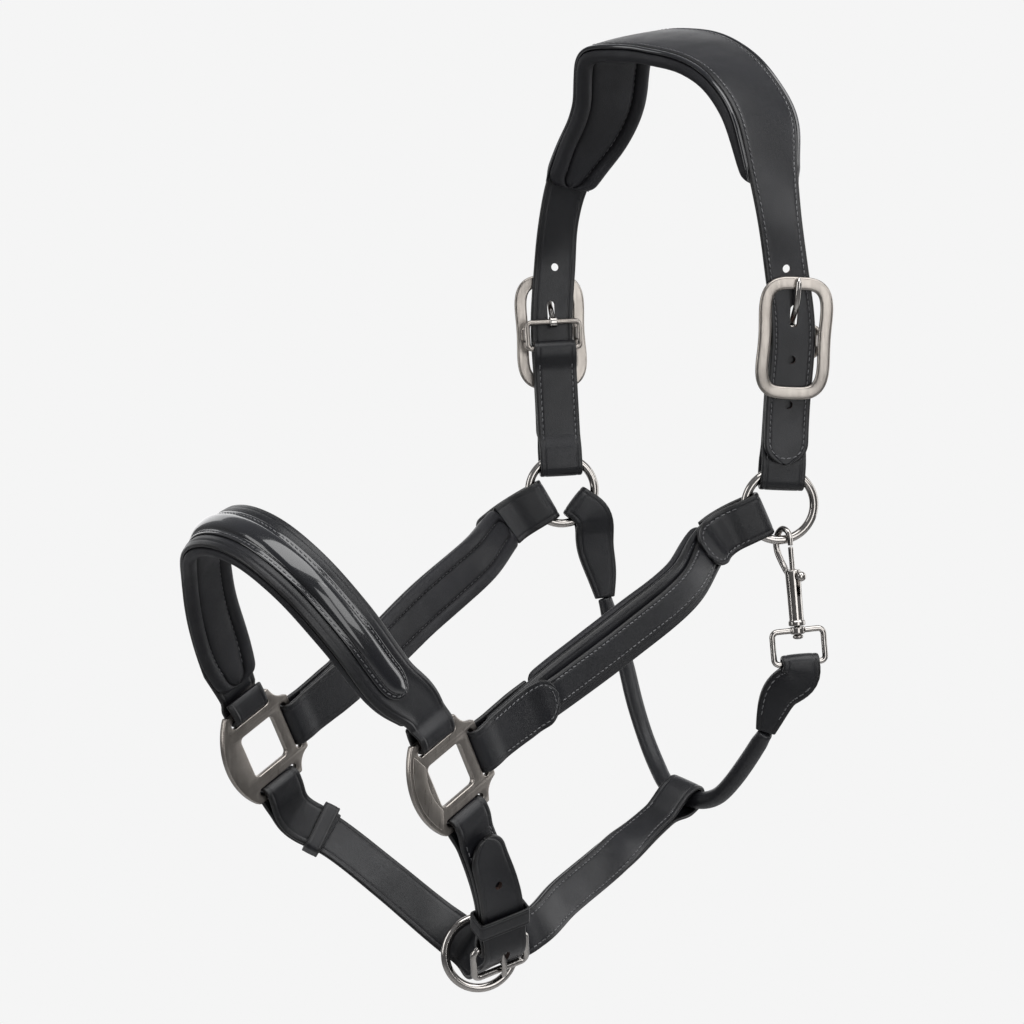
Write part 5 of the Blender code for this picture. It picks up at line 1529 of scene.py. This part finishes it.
def snap_parts():
    at = snap_frame()
    profile = [(0, -39.0), (1.6, -38.95), (2.5, -38.6), (3.0, -38.0), (3.0, -37.2), (2.4, -36.5),
               (1.5, -36.5), (1.5, -31.4), (4.5, -31.3), (4.8, -31.0), (4.8, -29.0), (4.5, -28.6),
               (4.1, -28.2), (4.2, -14.0), (4.4, -2.0), (4.3, -0.5), (4.0, 0.0), (BORE_R, 0.0),
               (BORE_R, -22.0), (0, -22.0)]
    shape = add_turned(Shape(), at.origin, at.v, profile)
    arm_rows = [(3.3, -6.0), (5.2, -1.0), (8.6, 4.5), (11.2, 10.0), (11.6, 15.0), (9.6, 20.0), (5.6, 22.9),
                (1.6, 21.4), (0.0, 17.6), (0.0, 13.6)]
    line = smooth_curve([at.at(*hook_way(q), v) for q, v in arm_rows], 0.8)
    share = np.linspace(0.0, 1.0, len(line))
    radii = np.interp(share, (0.0, 0.06, 0.14, 0.6, 0.85, 1.0), (0.8, 1.3, 1.85, 1.9, 1.65, 1.5))
    add_rod(shape, line, radii, np.cross(at.v, at.at(*hook_way(1.0)) - at.origin))
    body = cast(shape, "snap_body_look", POLISHED, voxel=0.27)
    knob = knob_frame(at)
    slot = Shape()
    add_block(slot, knob, (-1.3, 1.3), (1.0, 8.0), (-14.6, -1.8), 1.1)
    cut(body, [slot], POLISHED)
    place(body, "snap", "gunmetal", "snap_body")

    bolt_profile = [(0, -9.6), (1.7, -9.6), (2.0, -9.2), (2.0, -1.6), (1.5, -1.0), (1.5, 12.2),
                    (1.3, 12.7), (0, 13.0)]
    shape = add_turned(Shape(), at.origin, at.v, bolt_profile)
    stem = [(0, 0.6), (1.0, 0.6), (1.0, 5.2), (1.7, 5.5), (2.4, 6.2), (2.75, 7.0), (2.85, 7.8),
            (2.6, 8.6), (2.0, 9.4), (1.1, 9.9), (0, 10.0)]
    add_turned(shape, knob.at(v=-3.6), knob.n, stem)
    place(cast(shape, "snap_bolt_look", POLISHED, voxel=0.25), "bolt", "gunmetal", "snap_bolt")

    shape = Shape()
    eye_path = box_path(EYE_HALF, (EYE_TOP - EYE_LOW) / 2, 3.0)
    add_wire(shape, at.moved(v=(EYE_TOP + EYE_LOW) / 2), eye_path, EYE_WIRE)
    boss = [(0, -36.1), (3.6, -36.1), (4.1, -35.8), (4.25, -35.2), (4.25, -32.8), (4.1, -32.2),
            (3.6, -31.9), (0, -31.9)]
    add_turned(shape, at.origin, at.v, boss)
    eye = cast(shape, "snap_eye_look", POLISHED, voxel=0.28)
    bore = add_turned(Shape(), at.origin, at.v, [(0, -40.0), (1.8, -40.0), (1.8, -28.0), (0, -28.0)], 28)
    cut(eye, [bore], POLISHED)
    place(eye, "collar", "gunmetal", "snap_eye")
    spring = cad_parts["snap_spring"]
    spring.data.materials.clear()
    spring.data.materials.append(STEEL)
    for face in spring.data.polygons:
        face.material_index = 0


def throatlatch():
    far = ring_frame(FAR)
    snap = snap_frame()
    away = unit(0.743 * far.h - 0.669 * far.v)
    start = far.origin + RING_FOLD * away
    far_rows = [row(start, far.n, 20.0), row(start + 9 * away, far.n, TAB_WIDTH),
                row((-74, 12.5, -283), far.n, TAB_WIDTH), row((-70.5, 14.5, -299), far.n, 18.0),
                row((-68, 15, -313), far.n, 11.5)]
    low_bar = snap.at(v=EYE_LOW)
    near_rows = [row(low_bar, snap.n, TAB_WIDTH - 1), row(snap.at(v=EYE_LOW - 7), snap.n, TAB_WIDTH),
                 row((85.5, 0.0, -354), (0.75, -0.6, 0.1), TAB_WIDTH - 1),
                 row((79.5, -1.5, -366.5), (0.7, -0.6, 0.2), 17.0),
                 row((75, -1.0, -377), (0.65, -0.65, 0.3), 11.5)]
    eye_fold = Fold(EYE_WIRE + 0.7 + STRAP / 2, hold=2.5, close=12.0, back=WHOLE_TAB, lay=TAB_LAY)
    profile = Leather(STRAP, dome=0.5)
    far_fold = ring_fold(WHOLE_TAB, TAB_LAY)
    for label, rows, fold in (("far", far_rows, far_fold), ("near", near_rows, eye_fold)):
        band = folded(strap_band(rows, 4.0), fold)
        strap_piece(label + "_tab_leather", band, profile, label + "_throat_tab")
        half = band.length / 2
        seam_rows = border(band, SEAM, half + 14.0, band.length - 9.0)
        sewn(label + "_tab_stitches", "collar", (band, seam_rows, on_face(profile, band)))
    roll_rows = [(-67.7, 15.2, -315), (-64, 18.5, -332), (-58, 21.5, -350), (-48, 19.5, -373),
                 (-36, 17, -394), (-22, 12.5, -409.5), LOOP_AT - 10 * LOOP_WAY, LOOP_AT + 10 * LOOP_WAY,
                 (27, 9.5, -422), (41, 6.5, -412.5), (55, 4.0, -399), (74.2, -1.2, -379.5)]
    line = softened(smooth_curve(roll_rows, 1.6), 1.6, 5.0)
    ends = np.minimum(run_of(line), run_of(line)[-1] - run_of(line))
    width = 0.86 + 0.14 * (1.0 - ease(ends, 10.0)) + 0.012 * np.sin(run_of(line) / 7.3)
    band = Band(line, np.repeat(np.array((0.3, 0.9, 0.1))[None], len(line), 0), width, directions(line))

    angles = around(ROLL_SIDES)
    # the roll's seam groove is also its seam mark, so the leather finish darkens it with painted shade
    groove = np.exp(-((((angles - 1.1 + math.pi) % (2 * math.pi)) - math.pi) / 0.16) ** 2)

    def section(width, draw_in=0.0, s=0.0):
        radius = (ROLL_R - 0.45 * groove) * width - draw_in
        return np.stack((radius * np.cos(angles), radius * np.sin(angles), 0.0 * angles, groove), axis=1)

    strap_piece("throatlatch_leather", band, section, "throatlatch_roll", end_round=1.2)


def jowl_strap():
    ring_at = chin_ring_frame()
    away = unit(0.94 * ring_at.h + 0.34 * ZUP)
    start = ring_at.origin + RING_FOLD * away
    outward = unit(np.cross(LOOP_WAY, JOWL_END_WAY))
    rows = [row(start, ring_at.n, JOWL_WIDTH), row(start + 14 * away, ring_at.n, JOWL_WIDTH),
            row((15.5, -102, -467.5), (1, -0.15, 0.3), JOWL_WIDTH),
            row((8, -62, -454), (1, -0.1, 0.45), JOWL_WIDTH),
            row((3, -27, -440), outward, JOWL_WIDTH - 1), row(LOOP_AT, outward, JOWL_WIDTH - 2)]
    loop = Fold(ROLL_R + 1.2 + STRAP / 2, hold=3.0, close=20.0)
    route = strap_band(rows, 4.0)
    band = folded(route, ring_fold(), loop, True)
    profile = Leather(STRAP)
    strap_piece("jowl_leather", band, profile, "jowl_strap", closed=True)
    turned_at = route.length + math.pi * loop.radius
    front = border(band, SEAM, 14.0, route.length - 16.0)
    back = border(band, SEAM, turned_at + 16.0, turned_at + route.length - 16.0)
    out = on_face(profile, band)
    sewn("jowl_stitches", "collar", (band, front, out), (band, back, out))


# ---- camera, light and floor ----
CAMERA_AZIMUTH = 46.0
CAMERA_ELEVATION = 4.2
CAMERA_DISTANCE = 2.0
TARGET = Vector((0.0, -0.127, -0.252))
SENSOR = 36.0
VIEW_WIDTH = 1024 * 0.00055
BACKGROUND = (0.913, 0.913, 0.913, 1.0)


def camera_back():
    azimuth = math.radians(CAMERA_AZIMUTH)
    elevation = math.radians(CAMERA_ELEVATION)
    level = math.cos(elevation)
    return Vector((math.sin(azimuth) * level, -math.cos(azimuth) * level, math.sin(elevation)))


def add_camera():
    data = bpy.data.cameras.new("camera")
    data.sensor_width = SENSOR
    data.lens = SENSOR * CAMERA_DISTANCE / VIEW_WIDTH
    data.clip_start = 0.05
    data.clip_end = 60.0
    obj = bpy.data.objects.new("camera", data)
    bpy.context.scene.collection.objects.link(obj)
    back = camera_back()
    obj.location = TARGET + back * CAMERA_DISTANCE
    obj.rotation_mode = "QUATERNION"
    obj.rotation_quaternion = (-back).to_track_quat("-Z", "Y")
    bpy.context.scene.camera = obj


def softbox(name, right, towards, up, size, brightness, colour=(1.0, 1.0, 1.0)):
    """A rectangular light at a place given from the camera's view of the object, in metres."""
    data = bpy.data.lights.new(name, "AREA")
    data.shape = "RECTANGLE"
    data.size, data.size_y = size
    data.energy = brightness * math.pi * size[0] * size[1]
    data.color = colour
    obj = bpy.data.objects.new(name, data)
    bpy.context.scene.collection.objects.link(obj)
    azimuth = math.radians(CAMERA_AZIMUTH)
    side = Vector((math.cos(azimuth), math.sin(azimuth), 0.0))
    front = Vector((math.sin(azimuth), -math.cos(azimuth), 0.0))
    obj.location = TARGET + right * side + towards * front + up * Vector((0.0, 0.0, 1.0))
    obj.rotation_mode = "QUATERNION"
    obj.rotation_quaternion = (obj.location - TARGET).to_track_quat("Z", "Y")
    obj.visible_camera = False


def studio():
    world = bpy.data.worlds.new("studio")
    bpy.context.scene.world = world
    world.use_nodes = True
    tree = world.node_tree
    tree.nodes.clear()
    seen = add_node(tree, "ShaderNodeBackground", Color=BACKGROUND, Strength=1.0)
    where = add_node(tree, "ShaderNodeTexCoord").outputs["Generated"]
    up = add_node(tree, "ShaderNodeSeparateXYZ", Vector=where).outputs[2]
    tone = mixed(tree, spread(tree, up, -0.5, 0.8, 0.0, 1.0), (0.13, 0.129, 0.127), (0.27, 0.273, 0.285))
    light = add_node(tree, "ShaderNodeBackground", Color=tone, Strength=1.0)
    camera_ray = add_node(tree, "ShaderNodeLightPath").outputs["Is Camera Ray"]
    mix = add_node(tree, "ShaderNodeMixShader", _0=camera_ray, _1=light.outputs[0], _2=seen.outputs[0])
    out = add_node(tree, "ShaderNodeOutputWorld")
    tree.links.new(mix.outputs[0], out.inputs[0])
    softbox("overhead", 0.2, 0.5, 1.5, (2.0, 1.2), 3.4)
    softbox("high_right", 1.45, 0.95, 0.95, (0.9, 1.2), 2.8)
    softbox("front_right", 0.75, 1.7, 0.15, (0.8, 1.5), 2.4)
    softbox("left", -1.8, 0.5, 0.3, (0.8, 1.6), 2.6)
    softbox("right_back", 1.7, -0.7, 0.2, (1.0, 1.6), 2.0)
    softbox("backdrop", 0.0, -2.3, 0.3, (3.6, 2.6), 1.0)


FLOOR_Z = -1.65
FLOOR_R = 7.0
FLOOR_SIDES = 96


def floor():
    """A wide pale floor, as bright to the eye as the wall behind it."""
    shape = Shape()
    angles = around(FLOOR_SIDES)
    rim = np.stack((np.cos(angles), np.sin(angles), 0.0 * angles), axis=1)
    points = np.vstack([rim * FLOOR_R + (0.0, 0.0, z) for z in (FLOOR_Z - 0.02, FLOOR_Z)]) / MM
    shape.add(points, grid_quads(2, FLOOR_SIDES, False), end_caps(2, FLOOR_SIDES))
    made, tree, shader = nodes_of("pale_floor")
    shade = noise_node(tree, object_coordinates(tree), 1.2, 2.0)
    tree.links.new(mixed(tree, shade, (0.60, 0.60, 0.60), (0.64, 0.64, 0.64)), shader.inputs["Base Color"])
    shader.inputs["Roughness"].default_value = 0.9
    glow = add_node(tree, "ShaderNodeEmission", Color=BACKGROUND, Strength=1.0)
    camera_ray = add_node(tree, "ShaderNodeLightPath").outputs["Is Camera Ray"]
    mix = add_node(tree, "ShaderNodeMixShader", _0=camera_ray, _1=shader.outputs[0], _2=glow.outputs[0])
    tree.links.new(mix.outputs[0], tree.nodes["Material Output"].inputs[0])
    obj = shape.object("floor", made)


add_camera()
studio()
floor()
crown()
noseband()
for side_label, side_sign in SIDES:
    cheekpiece(side_label, side_sign)
    short_cheek_strap(side_label, side_sign)
    ring(side_label + "_ring_look", ring_frame(side_sign), side_label + "_ring_body", side_label + "_ring")
    headpiece_buckle(side_label, side_sign)
    headpiece_tongue(side_label, side_sign)
    halter_square(side_label, side_sign)
chin_parts()
throatlatch()
jowl_strap()
snap_parts()
bpy.context.scene.view_settings.view_transform = "Standard"
